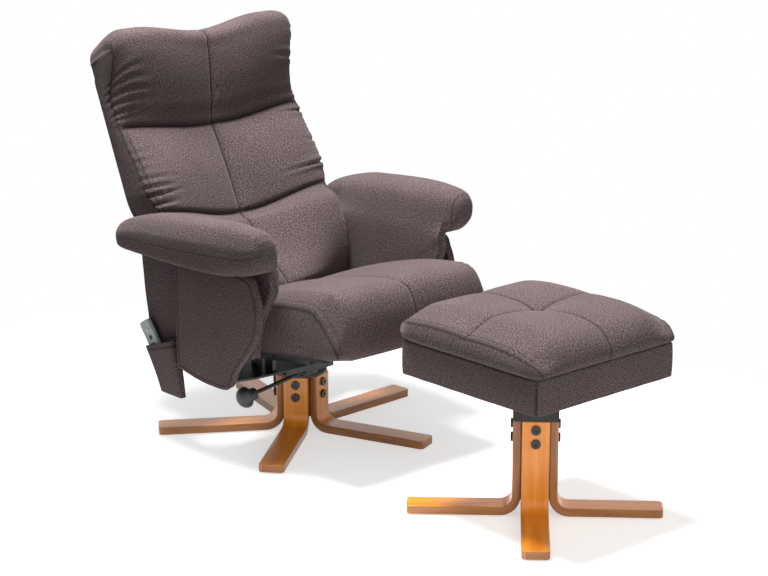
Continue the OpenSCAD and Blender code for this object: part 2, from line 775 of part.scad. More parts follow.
// The rear face has a point behind each point of the front, a little more evenly spread.
function with_rear(front) =
    let (n = len(front) - 1)
    concat(front, [for (i = [n - 1 : -1 : 1])
        [front[n][0] * mix(min(front[i][0] / front[n][0], 1), i / n, back_rear_even_share),
            back_rear_share]]);
module back_cushion() {
    back_top = back_lift + rigid_back_len + soft_gap;
    rings = [for (u = both_ways(back_station_shares))
        let (
            v = abs(u),
            k = smooth((v - 0.1) / 0.9),
            line = with_rear(open_curve(mix_points(back_middle_shares, back_side_shares, k), 2)),
            corner_u = max(0, (v - 1 + back_corner_r / head_half_w) / (back_corner_r / head_half_w)),
            drop = back_corner_r * (1 - sqrt(1 - corner_u * corner_u)),
            rise = back_ear_rise * smooth(v / 0.7) - drop
        )
        [for (p = line)
            let (
                front = smooth((p[1] - 0.14) / 0.1),
                stuffed = back_puff * row_swell(p[0], k) * swell(v / 0.95) * front,
                drawn = v > 0.99 ? back_draw + head_draw * smooth((p[0] - 0.7) / 0.15) : 0,
                edge = drawn * row_swell(p[0], k) * front,
                h = back_lift + p[0] * back_len + rise * smooth((p[0] - 0.7) / 0.3),
                least = h < back_top + back_puff ? board_front_t + glue_gap : 0
            )
            [u * back_half(p[0]), -max(least, p[1] * back_depth + stuffed - edge), h]
        ]
    ];
    color(fabric_colour) back_frame() loft(rings, strips = true);
}

// Arms: a board inside, a padded panel towards the sitter, a shield outside and a pad on top.
module arm_board(right) {
    color(plywood_colour) side(right)
        translate([arm_board_x, -arm_board_front, arm_board_low_z])
            cube([arm_board_t, arm_board_front + arm_board_rear, arm_under_z - arm_board_low_z]);
}
module right_arm_board() { arm_board(true); }
module left_arm_board() { arm_board(false); }

// Front edge of the inner panel, as [y, z] shares, from its foot to its top.
arm_panel_shares = [
    [0.7, 0], [0.72, 0.2], [0.77, 0.38], [0.83, 0.515], [0.915, 0.65], [0.965, 0.74], [1, 0.84],
    [0.995, 0.93], [0.97, 1]
];
module arm_panel(right) {
    height = arm_under_z - panel_low_z;
    front = [for (p = open_curve(arm_panel_shares, 4))
        [-p[0] * panel_front, panel_low_z + p[1] * height]];
    turned = [for (p = front) if (p[0] < -arm_board_front - panel_turn_low) p];
    color(fabric_colour) side(right) union() {
        yz_plate(arm_inner_x, arm_panel_t)
            polygon(concat(front, [[panel_rear, arm_under_z], [panel_rear, panel_low_z]]));
        // The cover turns round the front of the arm board, up to the shield.
        yz_plate(arm_board_x - cut, cut + arm_board_t + side_plate_t - soft_gap)
            polygon(concat(turned, [[-arm_board_front - soft_gap, arm_under_z],
                [-arm_board_front - soft_gap, turned[0][1]]]));
    }
}
module right_arm_panel() { arm_panel(true); }
module left_arm_panel() { arm_panel(false); }

// The shield's lower and front edge, as [y, z] shares, from its rear foot to its top.
shield_shares = [
    [0, 0.06], [0.22, 0.016], [0.43, 0], [0.62, 0.02], [0.72, 0.17], [0.86, 0.364], [0.95, 0.5],
    [0.995, 0.646], [1, 0.777], [0.957, 0.9], [0.873, 1]
];
module side_shield(right) {
    run = shield_rear + shield_front;
    height = arm_under_z - shield_low_z;
    edge = [for (p = open_curve(shield_shares, 4))
        [shield_rear - p[0] * run, shield_low_z + p[1] * height]];
    color(fabric_colour) side(right) yz_plate(shield_x, shield_t)
        polygon(concat(edge, [[shield_rear, arm_under_z]]));
}
module right_side_shield() { side_shield(true); }
module left_side_shield() { side_shield(false); }

// The pocket's mouth rises to the front, and the rear panel ends on it.
function mouth_z(y) = pocket_mouth_z - pocket_mouth_drop * (y - pocket_mouth_front)
    / (pocket_mouth_rear - pocket_mouth_front);
module rear_panel(right) {
    front = shield_rear + rear_panel_gap;
    color(fabric_colour) side(right) yz_plate(side_plate_x, rear_panel_t) polygon([
        [front, mouth_z(front)],
        [front, arm_under_z],
        [rear_panel_rear, arm_under_z],
        [rear_panel_rear, mix(rear_panel_waist_z, arm_under_z, 0.45)],
        [mix(pocket_mouth_rear, rear_panel_rear, 0.6), rear_panel_waist_z],
        [pocket_mouth_rear, mouth_z(pocket_mouth_rear)]
    ]);
}
module right_rear_panel() { rear_panel(true); }
module left_rear_panel() { rear_panel(false); }

// Leaf shape of the arm pad: share of its length from the tip, then where its inner and outer sides
// and its underside and top lie, as shares of its width and height.
arm_pad_shares = [
    [0, 0.28, 0.52, 0.45, 0.74], [0.011, 0.2, 0.64, 0.34, 0.87], [0.038, 0.13, 0.71, 0.2, 0.95],
    [0.083, 0.08, 0.76, 0.1, 1], [0.154, 0.045, 0.82, 0.04, 1.02], [0.224, 0.03, 0.86, 0.01, 1.03],
    [0.365, 0.03, 0.94, 0, 1], [0.5, 0.03, 0.99, 0, 0.95], [0.62, 0.04, 1, 0, 0.9],
    [0.733, 0.08, 0.99, 0, 0.85], [0.85, 0.18, 0.965, 0, 0.73], [0.93, 0.195, 0.94, 0, 0.62],
    [0.975, 0.22, 0.9, 0.02, 0.52], [1, 0.3, 0.83, 0.1, 0.42]
];
arm_pad_ring = 26;
// The crown lies nearer to the outer side, and the side leans in under it, most at the front.
arm_crown_share = 0.58;
arm_tuck_front = 0.45;
arm_tuck = 0.14;
module arm_pad(right) {
    run = arm_front + arm_rear;
    rings = [for (p = arm_pad_shares)
        let (
            inner = arm_inner_x + p[1] * arm_pad_w,
            outer = arm_inner_x + p[2] * arm_pad_w,
            crown = mix(inner, outer, arm_crown_share),
            tuck = mix(arm_tuck_front, arm_tuck, smooth(p[0] / 0.3)),
            low = arm_under_z + p[3] * arm_pad_h,
            high = arm_under_z + p[4] * arm_pad_h,
            belt = mix(low, high, 0.36)
        )
        [for (i = [0 : arm_pad_ring - 1])
            let (
                a = 360 * i / arm_pad_ring,
                out = cos(a) > 0,
                x = out ? mix(crown, outer, pow(cos(a), 0.6)) : mix(crown, inner, pow(-cos(a), 0.9)),
                z = sin(a) > 0 ? mix(belt, high, pow(sin(a), out ? 0.7 : 0.9))
                    : mix(belt, low, pow(-sin(a), 0.4))
            )
            [inner + (x - inner) * (1 - tuck * max(0, -sin(a))), p[0] * run - arm_front, z]
        ]
    ];
    color(fabric_colour) side(right) loft(rings);
}
module right_arm_pad() { arm_pad(true); }
module left_arm_pad() { arm_pad(false); }

// The pocket hangs on the sitter's right. Its front wall leans outwards, so that the mouth gapes.
module pocket_solid(grow, above) {
    low = pocket_low_z - grow;
    lean_low = side_plate_x + pocket_low_t + grow;
    lean_high = side_plate_x + pocket_mouth_t + grow;
    intersection() {
        yz_plate(side_plate_x - grow, pocket_mouth_t + 2 * grow) polygon([
            [pocket_low_front - grow, low],
            [pocket_low_rear + grow, low],
            [pocket_mouth_rear + grow, mouth_z(pocket_mouth_rear + grow) + above],
            [pocket_mouth_front - grow, mouth_z(pocket_mouth_front - grow) + above]
        ]);
        translate([0, pocket_mouth_rear + cut, 0]) rotate([90, 0, 0])
            linear_extrude(pocket_mouth_rear - pocket_low_front + 2 * cut) polygon([
                [side_plate_x - grow, low],
                [side_plate_x - grow, pocket_mouth_z + pocket_wall],
                [lean_high, pocket_mouth_z + pocket_wall],
                [lean_low, low]
            ]);
    }
}
module side_pocket() {
    color(fabric_colour) side(true) difference() {
        pocket_solid(0, 0);
        pocket_solid(-pocket_wall, cut);
    }
}

// The control box of the massage motors hangs under the rear of the mechanism box.
control_y = norm([hub_in_r + leg_t, leg_w / 2]) + control_gap;
module control_box() {
    rear = control_y + control_len;
    low = mech_z - control_h;
    wall = remote_shell;
    socket_z = low + control_h / 2;
    color(black_colour) difference() {
        union() {
            difference() {
                translate([-control_half_w, control_y, low])
                    cube([2 * control_half_w, control_len, control_h]);
                translate([wall - control_half_w, control_y + wall, low + wall])
                    cube([2 * (control_half_w - wall), control_len - 2 * wall, control_h - 2 * wall]);
            }
            for (x = control_socket_shares * control_half_w)
                translate([x, rear, socket_z]) rotate([90, 0, 0])
                    cylinder(r = socket_boss_r, h = inlet_deep + wall, $fn = round_fn);
        }
        for (x = control_socket_shares * control_half_w)
            translate([x, rear + cut, socket_z]) rotate([90, 0, 0])
                cylinder(r = inlet_r, h = inlet_deep + cut, $fn = round_fn);
    }
}

// The knob locks the recline: its rod runs into the mechanism box.
module recline_knob() {
    color(black_colour) knob_frame() translate([0, 0, knob_reach]) difference() {
        rotate_extrude($fn = round_fn) polygon(concat(
            [[0, 0], [knob_stem_r, 0], [knob_stem_r, knob_stem_len / 2]],
            [for (a = [-50 : 10 : 90])
                [knob_r * cos(a), mix(knob_stem_len, knob_len, 0.4)
                    + (a < 0 ? knob_stem_len : knob_len - mix(knob_stem_len, knob_len, 0.4)) * sin(a)]]
        ));
        translate([0, 0, -cut]) cylinder(r = rod_r, h = knob_stem_len + cut, $fn = round_fn);
    }
}
module knob_rod() {
    color(steel_colour) knob_frame() translate([0, 0, -rod_bracket_half])
        cylinder(r = rod_r, h = knob_reach + knob_stem_len + rod_bracket_half, $fn = round_fn);
}

// The remote stands in its pocket: +Z is its length, +X its face and Y its width.
module remote_frame() {
    side(true) translate([remote_foot_x, remote_foot_y, remote_foot_z])
        rotate([-remote_tilt, 0, 0]) rotate([0, remote_lean, 0]) children();
}
// Rounded slab of the remote from x0 to x1, drawn in by an inset on its four sides.
module remote_slab(x0, x1, inset) {
    r = remote_corner - inset;
    translate([x0, 0, 0]) rotate([90, 0, 90]) linear_extrude(x1 - x0) union() {
        translate([inset - remote_w / 2, remote_corner])
            square([remote_w - 2 * inset, remote_len - 2 * remote_corner]);
        translate([remote_corner - remote_w / 2, inset])
            square([remote_w - 2 * remote_corner, remote_len - 2 * inset]);
        for (s = [-1, 1], z = [remote_corner, remote_len - remote_corner])
            translate([s * (remote_w / 2 - remote_corner), z]) circle(r = r, $fn = round_fn);
    }
}
module button_at(k) {
    translate([0, 0, remote_len - button_first - (k - 1) * button_pitch]) rotate([0, 90, 0]) children();
}
module remote_top_shell() {
    half = remote_t / 2;
    color(silver_colour) remote_frame() difference() {
        remote_slab(remote_split / 2, half, 0);
        remote_slab(-cut, half - remote_shell, remote_shell);
        for (k = [1 : 4]) button_at(k)
            cylinder(r = button_r + button_clear, h = half + cut, $fn = round_fn);
    }
}
module remote_bottom_shell() {
    half = remote_t / 2;
    color(black_colour) remote_frame() difference() {
        remote_slab(-half, -remote_split / 2, 0);
        remote_slab(remote_shell - half, cut, remote_shell);
    }
}
module remote_button(k) {
    half = remote_t / 2;
    top = half + button_proud;
    foot_top = half - remote_shell - button_clear;
    color(black_colour) remote_frame() button_at(k) union() {
        translate([0, 0, foot_top - button_foot])
            cylinder(r = button_r, h = top - foot_top + button_foot, $fn = round_fn);
        translate([0, 0, foot_top - button_foot])
            cylinder(r = button_r + button_foot, h = button_foot, $fn = round_fn);
    }
}
module button_power() { remote_button(1); }
module button_mode() { remote_button(2); }
module button_faster() { remote_button(3); }
module button_slower() { remote_button(4); }

// The footstool, in its own frame about its post.
module stool_frame() { translate([stool_x, stool_y, 0]) rotate(stool_yaw) children(); }
stool_heading = 225;
module stool_leg(k) {
    color(honey_colour) stool_frame() rotate(stool_heading + (k - 1) * 360 / stool_legs)
        leg(stool_in_r, stool_leg_h, stool_reach);
}
module stool_leg_1() { stool_leg(1); }
module stool_leg_2() { stool_leg(2); }
module stool_leg_3() { stool_leg(3); }
module stool_leg_4() { stool_leg(4); }
module stool_bolts() {
    color(black_colour) stool_frame() bolt_set(stool_legs, stool_heading, stool_in_r, stool_leg_h);
}
module stool_glides() {
    color(black_colour) stool_frame() glide_set(stool_legs, stool_heading, stool_reach);
}
// A square neck, as wide as the legs together, stands on the hub's plate and carries the flange.
module square_block(half, z0, z1) { translate([-half, -half, z0]) cube([2 * half, 2 * half, z1 - z0]); }
module stool_post() {
    flange_z = stool_floor_z - stool_flange_t;
    neck_half = stool_in_r + leg_t;
    neck_z = stool_leg_h + soft_gap;
    color(black_colour) stool_frame() union() {
        rotate(stool_heading) {
            hub_tube(stool_legs, stool_in_r, stool_leg_h, hub_low_z);
            square_block(stool_in_r - hub_wall, stool_leg_h - hub_plate_t / 2, neck_z + stool_neck_wall);
            difference() {
                square_block(neck_half, neck_z, flange_z + stool_flange_t / 2);
                square_block(neck_half - stool_neck_wall, neck_z + stool_neck_wall, flange_z);
            }
        }
        square_block(stool_flange_half, flange_z, stool_floor_z);
    }
}

module rounded_slab(half_x, half_y, r, h) {
    linear_extrude(h) union() {
        translate([-half_x, r - half_y]) square([2 * half_x, 2 * (half_y - r)]);
        translate([r - half_x, -half_y]) square([2 * (half_x - r), 2 * half_y]);
        for (x = [r - half_x, half_x - r], y = [r - half_y, half_y - r])
            translate([x, y]) circle(r = r, $fn = round_fn);
    }
}
module stool_box() {
    out_x = stool_half_x - box_skin;
    out_y = stool_half_y - box_skin;
    color(plywood_colour) stool_frame() translate([0, 0, stool_floor_z]) difference() {
        translate([-out_x, -out_y, 0]) cube([2 * out_x, 2 * out_y, stool_box_h]);
        translate([box_wall - out_x, box_wall - out_y, box_floor_t])
            cube([2 * (out_x - box_wall), 2 * (out_y - box_wall), stool_box_h]);
    }
}
module stool_box_cover() {
    color(fabric_colour) stool_frame() translate([0, 0, stool_floor_z]) difference() {
        rounded_slab(stool_half_x, stool_half_y, box_skin, stool_box_h);
        translate([box_skin - stool_half_x, box_skin - stool_half_y, -cut])
            cube([2 * (stool_half_x - box_skin), 2 * (stool_half_y - box_skin), stool_box_h + 2 * cut]);
    }
}
module lid_board() {
    half_x = stool_half_x - lid_inset;
    half_y = stool_half_y - lid_inset;
    color(plywood_colour) stool_frame() translate([-half_x, -half_y, lid_z + lid_gap])
        cube([2 * half_x, 2 * half_y, lid_t]);
}
module lid_battens() {
    reach_x = stool_half_x - box_skin - box_wall - batten_clear;
    reach_y = stool_half_y - box_skin - box_wall - batten_clear;
    color(plywood_colour) stool_frame() translate([0, 0, lid_z + lid_gap - batten_h])
        for (s = [0, 1]) rotate(180 * s)
            translate([reach_x - batten_w, -reach_y, 0]) cube([batten_w, 2 * reach_y, batten_h]);
}

// The lid cushion: four stuffed quarters drawn down to a tuft, above a band with a rolled seam.
lid_station_shares = [0, 0.05, 0.14, 0.32, 0.5, 0.68, 0.83, 0.92, 0.97, 1];
function lid_edge(u) = 1 - pow(abs(u), 3.6);
module lid_cushion() {
    base = lid_t;
    rings = [for (u = both_ways(lid_station_shares))
        let (
            x = -u * lid_half_x,
            past = max(0, abs(x) - lid_half_x + lid_corner_r),
            half = lid_half_y - lid_corner_r + sqrt(lid_corner_r * lid_corner_r - past * past)
        )
        concat(
            [[x, -half, 0], [x, 0, 0], [x, half, 0], [x, half, lid_band_h / 2]],
            [for (v = both_ways(lid_station_shares))
                let (
                    dome = sqrt(lid_edge(u) * lid_edge(v)),
                    seam = lid_band_h + (stool_pad_h - lid_tuft - lid_band_h) * dome,
                    stuffed = lid_tuft * swell(abs(u)) * swell(abs(v))
                )
                [x, -v * half, seam + stuffed]
            ],
            [[x, -half, lid_band_h / 2]]
        )
    ];
    color(fabric_colour) stool_frame() difference() {
        translate([0, 0, lid_z + lid_gap + soft_gap]) loft(rings);
        translate([lid_inset - stool_half_x - soft_gap, lid_inset - stool_half_y - soft_gap, lid_z])
            cube([2 * (stool_half_x - lid_inset + soft_gap), 2 * (stool_half_y - lid_inset + soft_gap),
                base + lid_gap + soft_gap]);
    }
}

// One line draws each node.
hub_post();
base_leg_1();
base_leg_2();
base_leg_3();
base_leg_4();
base_leg_5();
base_bolts();
base_glides();
hub_cap();
bearing_lower_race();
bearing_balls();
bearing_upper_race();
swivel_spindle();
mechanism_box();
cross_carrier();
right_side_plate();
left_side_plate();
seat_runners();
hinge_pins();
right_arm_board();
left_arm_board();
right_arm_panel();
left_arm_panel();
right_arm_pad();
left_arm_pad();
right_side_shield();
left_side_shield();
right_rear_panel();
left_rear_panel();
side_pocket();
control_box();
recline_knob();
knob_rod();
seat_board();
seat_cushion();
seat_slides();
seat_motors();
back_cushion();
back_board();
back_cover();
back_arms();
back_motors();
remote_top_shell();
remote_bottom_shell();
button_power();
button_mode();
button_faster();
button_slower();
stool_post();
stool_leg_1();
stool_leg_2();
stool_leg_3();
stool_leg_4();
stool_bolts();
stool_glides();
stool_box();
stool_box_cover();
lid_board();
lid_cushion();
lid_battens();
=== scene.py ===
import json

import bmesh
import bpy
import numpy as np
from mathutils import Matrix


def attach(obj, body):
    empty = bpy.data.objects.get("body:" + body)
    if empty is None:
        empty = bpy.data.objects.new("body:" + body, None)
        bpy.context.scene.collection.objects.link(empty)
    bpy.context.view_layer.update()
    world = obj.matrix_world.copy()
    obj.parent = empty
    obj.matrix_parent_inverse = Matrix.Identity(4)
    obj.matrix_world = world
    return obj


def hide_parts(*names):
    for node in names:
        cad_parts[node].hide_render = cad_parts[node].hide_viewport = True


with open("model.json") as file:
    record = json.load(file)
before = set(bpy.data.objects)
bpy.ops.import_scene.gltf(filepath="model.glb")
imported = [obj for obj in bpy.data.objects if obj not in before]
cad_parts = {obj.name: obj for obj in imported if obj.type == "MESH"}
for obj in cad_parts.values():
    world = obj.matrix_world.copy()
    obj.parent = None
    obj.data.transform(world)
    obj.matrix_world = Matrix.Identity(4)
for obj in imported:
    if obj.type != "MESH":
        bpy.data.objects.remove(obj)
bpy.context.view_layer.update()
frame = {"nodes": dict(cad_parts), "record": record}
MM = 0.001

# %% [markdown]
# The camera comes first. It was matched to the photograph from the leg tips, the seams and the
# silhouettes: it looks at the chair from its front right, 15 degrees above the horizon.
# Its place is given round the swivel axis: a distance back, then a shift along its own right and up.
# %% Camera
AZIMUTH, ELEVATION = np.radians(-42), np.radians(15.44)
SHIFT_RIGHT, SHIFT_UP, BACK_OFF = 214.5 * MM, 355.7 * MM, 5746.8 * MM
FOCAL_MM, SENSOR_MM = 104.15, 36


def link(name, data):
    """A new object for a mesh, a lamp or a camera, put into the scene."""
    made = bpy.data.objects.new(name, data)
    bpy.context.scene.collection.objects.link(made)
    return made


def view_axes(azimuth, elevation):
    """Right, up and backward unit vectors, one a row, of a view of the origin from those angles."""
    ca, sa = np.cos(azimuth), np.sin(azimuth)
    ce, se = np.cos(elevation), np.sin(elevation)
    return np.array([[ca, sa, 0], [-se * sa, se * ca, ce], [sa * ce, -ca * ce, se]])


def aim(made, axes, place):
    """Puts an object at a place, with those axes as its rotation."""
    made.matrix_world = Matrix([[*axes[:, k], place[k]] for k in range(3)] + [[0, 0, 0, 1]])


lens = bpy.data.cameras.new("photo_camera")
lens.lens, lens.sensor_width = FOCAL_MM, SENSOR_MM
camera = link("photo_camera", lens)
axes = view_axes(AZIMUTH, ELEVATION)
aim(camera, axes, np.array([SHIFT_RIGHT, SHIFT_UP, BACK_OFF]) @ axes)
bpy.context.scene.camera = camera
bpy.context.scene.view_settings.view_transform = "Standard"
print("camera at", [round(v, 3) for v in camera.location])

# %% [markdown]
# Short formulas that the pieces share: soft steps, bells and swellings, and smooth curves through points.
# %% Curves
join = np.concatenate


def smooth_step(x):
    """0 below 0, 1 above 1, and an S curve 3x^2 - 2x^3 between."""
    x = np.clip(x, 0, 1)
    return x * x * (3 - 2 * x)


def swell(x, power=0.6):
    """Height of stuffing between two seams: sin(pi x) to a power, so it rises steeply off each seam."""
    return np.sin(np.pi * np.clip(x, 0, 1)) ** power


def bell(x, width):
    """1 at zero, and next to nothing beyond two widths: exp(-(x / width)^2)."""
    return np.exp(-((x / width) ** 2))


def mix(a, b, k):
    return a + (b - a) * k


def unit(v):
    return v / np.maximum(np.linalg.norm(v, axis=-1, keepdims=True), 1e-12)


def xyz(*parts):
    """Points from their coordinates, each an array or a number."""
    return np.stack(np.broadcast_arrays(*parts), axis=-1)


def right_angle(count):
    return np.linspace(0, np.pi / 2, count)


def spline(a, b, c, d, t):
    """Catmull-Rom curve: from b to c as t goes from 0 to 1, in line with a and d."""
    return (2 * b + (c - a) * t + (2 * a - 5 * b + 4 * c - d) * t**2 + (3 * b - a - 3 * c + d) * t**3) / 2


def closed_curve(points, steps):
    """Curve round closed control points of shape (..., k, 2), with steps on each stretch."""
    ends = (np.roll(points, s, axis=-2)[..., :, None, :] for s in (1, 0, -1, -2))
    curve = spline(*ends, (np.arange(steps) / steps)[:, None])
    return curve.reshape(*points.shape[:-2], -1, points.shape[-1])


def open_curve(points, steps):
    """Curve through open control points of shape (k, d), ending on the last one."""
    p = np.asarray(points, float)
    p = join([p[:1], p, p[-1:]])
    ends = (p[s : len(p) - 3 + s][:, None, :] for s in range(4))
    curve = spline(*ends, (np.arange(steps) / steps)[:, None])
    return join([curve.reshape(-1, p.shape[1]), p[-1:]])


def along_chain(chain, at):
    """Points on the smooth curve through the chain, at fractional places such as 3.5."""
    chain = np.asarray(chain, float)
    i = np.clip(np.floor(at).astype(int), 0, len(chain) - 2)
    return spline(*(chain[np.clip(i + k, 0, len(chain) - 1)] for k in (-1, 0, 1, 2)), (at - i)[:, None])


def clustered(stops, counts, pull=0.7):
    """Stations between stops, crowded towards each stop: a mix of even steps and 1 - cos."""
    parts = []
    for a, b, n in zip(stops, stops[1:], counts):
        even = np.arange(n) / n
        parts.append(a + (b - a) * mix(even, (1 - np.cos(np.pi * even)) / 2, pull))
    return join(parts + [[stops[-1]]])


def place_in(stations, value):
    """Fractional place of a value among rising stations."""
    return np.interp(value, stations, np.arange(len(stations)))


def run_of(line):
    """Length along a line up to each of its points."""
    return join([[0], np.cumsum(np.linalg.norm(np.diff(line, axis=0), axis=1))])


def read_along(run, values, at):
    return xyz(*(np.interp(at, run, column) for column in values.T))


def resampled(outline, count):
    """The same closed outline with its points evenly spread along its length."""
    line = join([outline, outline[:1]])
    run = run_of(line)
    return read_along(run, line, np.linspace(0, run[-1], count, endpoint=False))


def rounded_section(half_w, half_t, r, steps=5, between=8):
    """Points round a rectangle whose corners are quarter circles of radius r."""
    corners = []
    for k, (sx, sy) in enumerate(((1, 1), (-1, 1), (-1, -1), (1, -1))):
        a = right_angle(steps) + k * np.pi / 2
        corners.append(xyz(sx * (half_w - r) + r * np.cos(a), sy * (half_t - r) + r * np.sin(a)))
    t = np.linspace(0, 1, between)[1:-1, None]
    sides = [mix(a[-1], b[0], t) for a, b in zip(corners, corners[1:] + corners[:1])]
    return join([part for pair in zip(corners, sides) for part in pair])


def tilted(points, origin, degrees):
    """Turns points about X by minus that angle, and moves them to an origin in the Y-Z plane."""
    c, s = np.cos(np.radians(degrees)), np.sin(np.radians(degrees))
    x, y, z = np.moveaxis(points, -1, 0)
    return xyz(x, origin[0] + y * c + z * s, origin[1] - y * s + z * c)


def puckers(place, pitch):
    """Uneven small folds: a sine whose phase wanders with a slower sine."""
    return 0.5 + 0.5 * np.sin(2 * np.pi * (place / pitch + 0.7 * np.sin(2 * np.pi * place / (4.6 * pitch))))


print("curves ready")

# %% [markdown]
# Every new piece is a grid of points. The points are joined into quads, and a UV map is laid over them
# that is measured in metres of cloth. A weave that reads this UV map keeps its scale on every piece.
# Where a shader has to know something about a place, such as a seam to paint shade along, the mesh keeps it.
# %% Grids into meshes
WELD, SLIVER = 0.02 * MM, 0.01 * MM


def run_length(points, axis):
    """Distance from the grid's first row or column to each point, along the grid's own lines."""
    steps = np.linalg.norm(np.diff(points, axis=axis), axis=2)
    return np.pad(np.cumsum(steps, axis=axis), [(1, 0), (0, 0)] if axis == 0 else [(0, 0), (1, 0)])


def with_poles(grid):
    """The grid with a pole added at each end: a row whose points are all the end row's middle."""
    low, high = (np.broadcast_to(row.mean(1, keepdims=True), row.shape) for row in (grid[:1], grid[-1:]))
    return join([low, grid, high])


def smooth_mesh(name, points, faces, material):
    mesh = bpy.data.meshes.new(name)
    mesh.from_pydata(np.reshape(points, (-1, 3)).tolist(), [], np.asarray(faces).tolist())
    mesh.polygons.foreach_set("use_smooth", np.ones(len(faces), bool))
    mesh.materials.append(material)
    mesh.update()
    return mesh


def grid_object(name, points, material, close=(False, True), uv=None, start=0, **marks):
    """A piece from points[i, j]; close joins the last row or column to the first.

    The UV map is the uv given, or the length run along each of the two directions, where the second
    length is measured from column start. Each of the marks is kept on the points under its own name.
    Doubled points are merged, which closes the poles, and the faces are turned outwards.
    """
    n, m = points.shape[:2]
    rows, columns = np.arange(n if close[0] else n - 1), np.arange(m if close[1] else m - 1)
    i, j = (g.ravel() for g in np.meshgrid(rows, columns, indexing="ij"))
    corners = [(i, j), (i + 1, j), (i + 1, j + 1), (i, j + 1)]
    faces = np.stack([(a % n) * m + (b % m) for a, b in corners], axis=1)
    if uv is None:
        wrapped = np.pad(points, [(0, 1), (0, 1), (0, 0)], mode="wrap")
        across, along = run_length(wrapped, 0), run_length(wrapped, 1)
        along = along - along[:, start : start + 1]
        face_uv = np.stack([xyz(across[a, b], along[a, b]) for a, b in corners], axis=1)
    else:
        face_uv = uv.reshape(-1, 2)[faces]
    mesh = smooth_mesh(name, points, faces, material)
    mesh.uv_layers.new(name="cloth").data.foreach_set("uv", face_uv.ravel())
    for key, values in marks.items():
        kind, field = ("FLOAT_VECTOR", "vector") if np.ndim(values) == 3 else ("FLOAT", "value")
        values = values if np.ndim(values) == 3 else np.broadcast_to(values, (n, m))
        mesh.attributes.new(key, kind, "POINT").data.foreach_set(field, values.ravel().astype(np.float32))
    shape = bmesh.new()
    shape.from_mesh(mesh)
    bmesh.ops.remove_doubles(shape, verts=shape.verts, dist=WELD)
    bmesh.ops.dissolve_degenerate(shape, edges=shape.edges, dist=SLIVER)
    bmesh.ops.recalc_face_normals(shape, faces=shape.faces)
    shape.to_mesh(mesh)
    shape.free()
    return link(name, mesh)


def dress(piece, body, *nodes, slot="upholstery", fill=None):
    """Attaches a piece to its body and hides the nodes it stands for; slot (record finish) and fill
    (fullness) are not used.
    """
    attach(piece, body)
    if nodes:
        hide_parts(*nodes)


print("grid helpers ready")

# %% [markdown]
# The whole chair and the footstool wear one cloth: a dark grey-brown fabric, woven from yarns of
# slightly different shades, which gives the heathered look. A picture of cloth would be quick, but it
# would stretch on curved pieces. Here the weave is a formula over the UV map, so it follows each
# piece, and three shades of yarn are mixed by noise drawn out along the warp and the weft.
# %% Material helpers
def srgb(r, g, b):
    """Colour as a screen shows it, 0 to 255, into the linear values that shaders use."""
    c = np.array([r, g, b]) / 255
    return (*np.where(c <= 0.04045, c / 12.92, ((c + 0.055) / 1.055) ** 2.4), 1)


opened = {}


def fresh(name, **sockets):
    """Opens a material with plain values on its shader's sockets, and gives feed, which links a socket."""
    material = bpy.data.materials.new(name)
    material.use_nodes = True
    tree = opened["tree"] = material.node_tree
    shader = tree.nodes["Principled BSDF"]
    for key, value in sockets.items():
        shader.inputs[key.replace("_", " ")].default_value = value

    def feed(socket, value):
        tree.links.new(value, shader.inputs[socket])

    return material, feed


def add_node(kind, inputs=(), **settings):
    """A node in the opened tree, whose inputs are values or the outputs of other nodes."""
    tree = opened["tree"]
    made = tree.nodes.new("ShaderNode" + kind)
    for key, value in settings.items():
        setattr(made, key, value)
    for key, value in dict(inputs).items():
        if isinstance(value, bpy.types.NodeSocket):
            tree.links.new(value, made.inputs[key])
        else:
            made.inputs[key].default_value = value
    return made


def maths(operation, *values):
    return add_node("Math", enumerate(values), operation=operation).outputs[0]


def times(a, b):
    return maths("MULTIPLY", a, b)


def plus(a, b):
    return maths("ADD", a, b)


def ranged(value, from_low, from_high, low=0.0, high=1.0, **settings):
    """The value carried from one range to another, and held at its ends."""
    return add_node("MapRange", enumerate((value, from_low, from_high, low, high)), **settings).outputs[0]


def blend_colours(factor, a, b, how="MIX"):
    return add_node("Mix", {0: factor, 6: a, 7: b}, data_type="RGBA", blend_type=how).outputs[2]


def own_place():
    return add_node("TexCoord").outputs["Object"]


def mark(name):
    return add_node("Attribute", attribute_name=name, attribute_type="GEOMETRY").outputs


def noise(coordinates, scale, detail=2.0, roughness=0.5, drawn=None):
    """Noise over the coordinates, drawn out first where they are scaled unevenly."""
    if drawn:
        coordinates = add_node("Mapping", {"Vector": coordinates, "Scale": drawn}).outputs[0]
    inputs = {"Vector": coordinates, "Scale": scale, "Detail": detail, "Roughness": roughness}
    return add_node("TexNoise", inputs).outputs["Fac"]


def ramp(factor, *stops):
    """Colour ramp through (place, colour) stops. A colour of three values is one as a screen shows it."""
    made = add_node("ValToRGB", {"Fac": factor})
    for place, _ in stops[2:]:
        made.color_ramp.elements.new(place)
    for element, (place, colour) in zip(made.color_ramp.elements, sorted(stops)):
        element.position, element.color = place, colour if len(colour) == 4 else srgb(*colour)
    return made.outputs[0]


def bump(height, strength, distance):
    return add_node("Bump", {"Height": height, "Strength": strength, "Distance": distance}).outputs[0]


# %% The cloth
YARN_DARK, YARN_MID, YARN_LIGHT = (34, 26, 26), (75, 62, 63), (128, 112, 113)
PAINTED_SEAM_SHADOW, THREAD_DARK, THREAD_LIGHT = srgb(30, 24, 25), (44, 36, 36), (96, 82, 80)
YARN_PITCH, GRAIN, DRAWN_OUT = 1.5 * MM, 880, 0.24


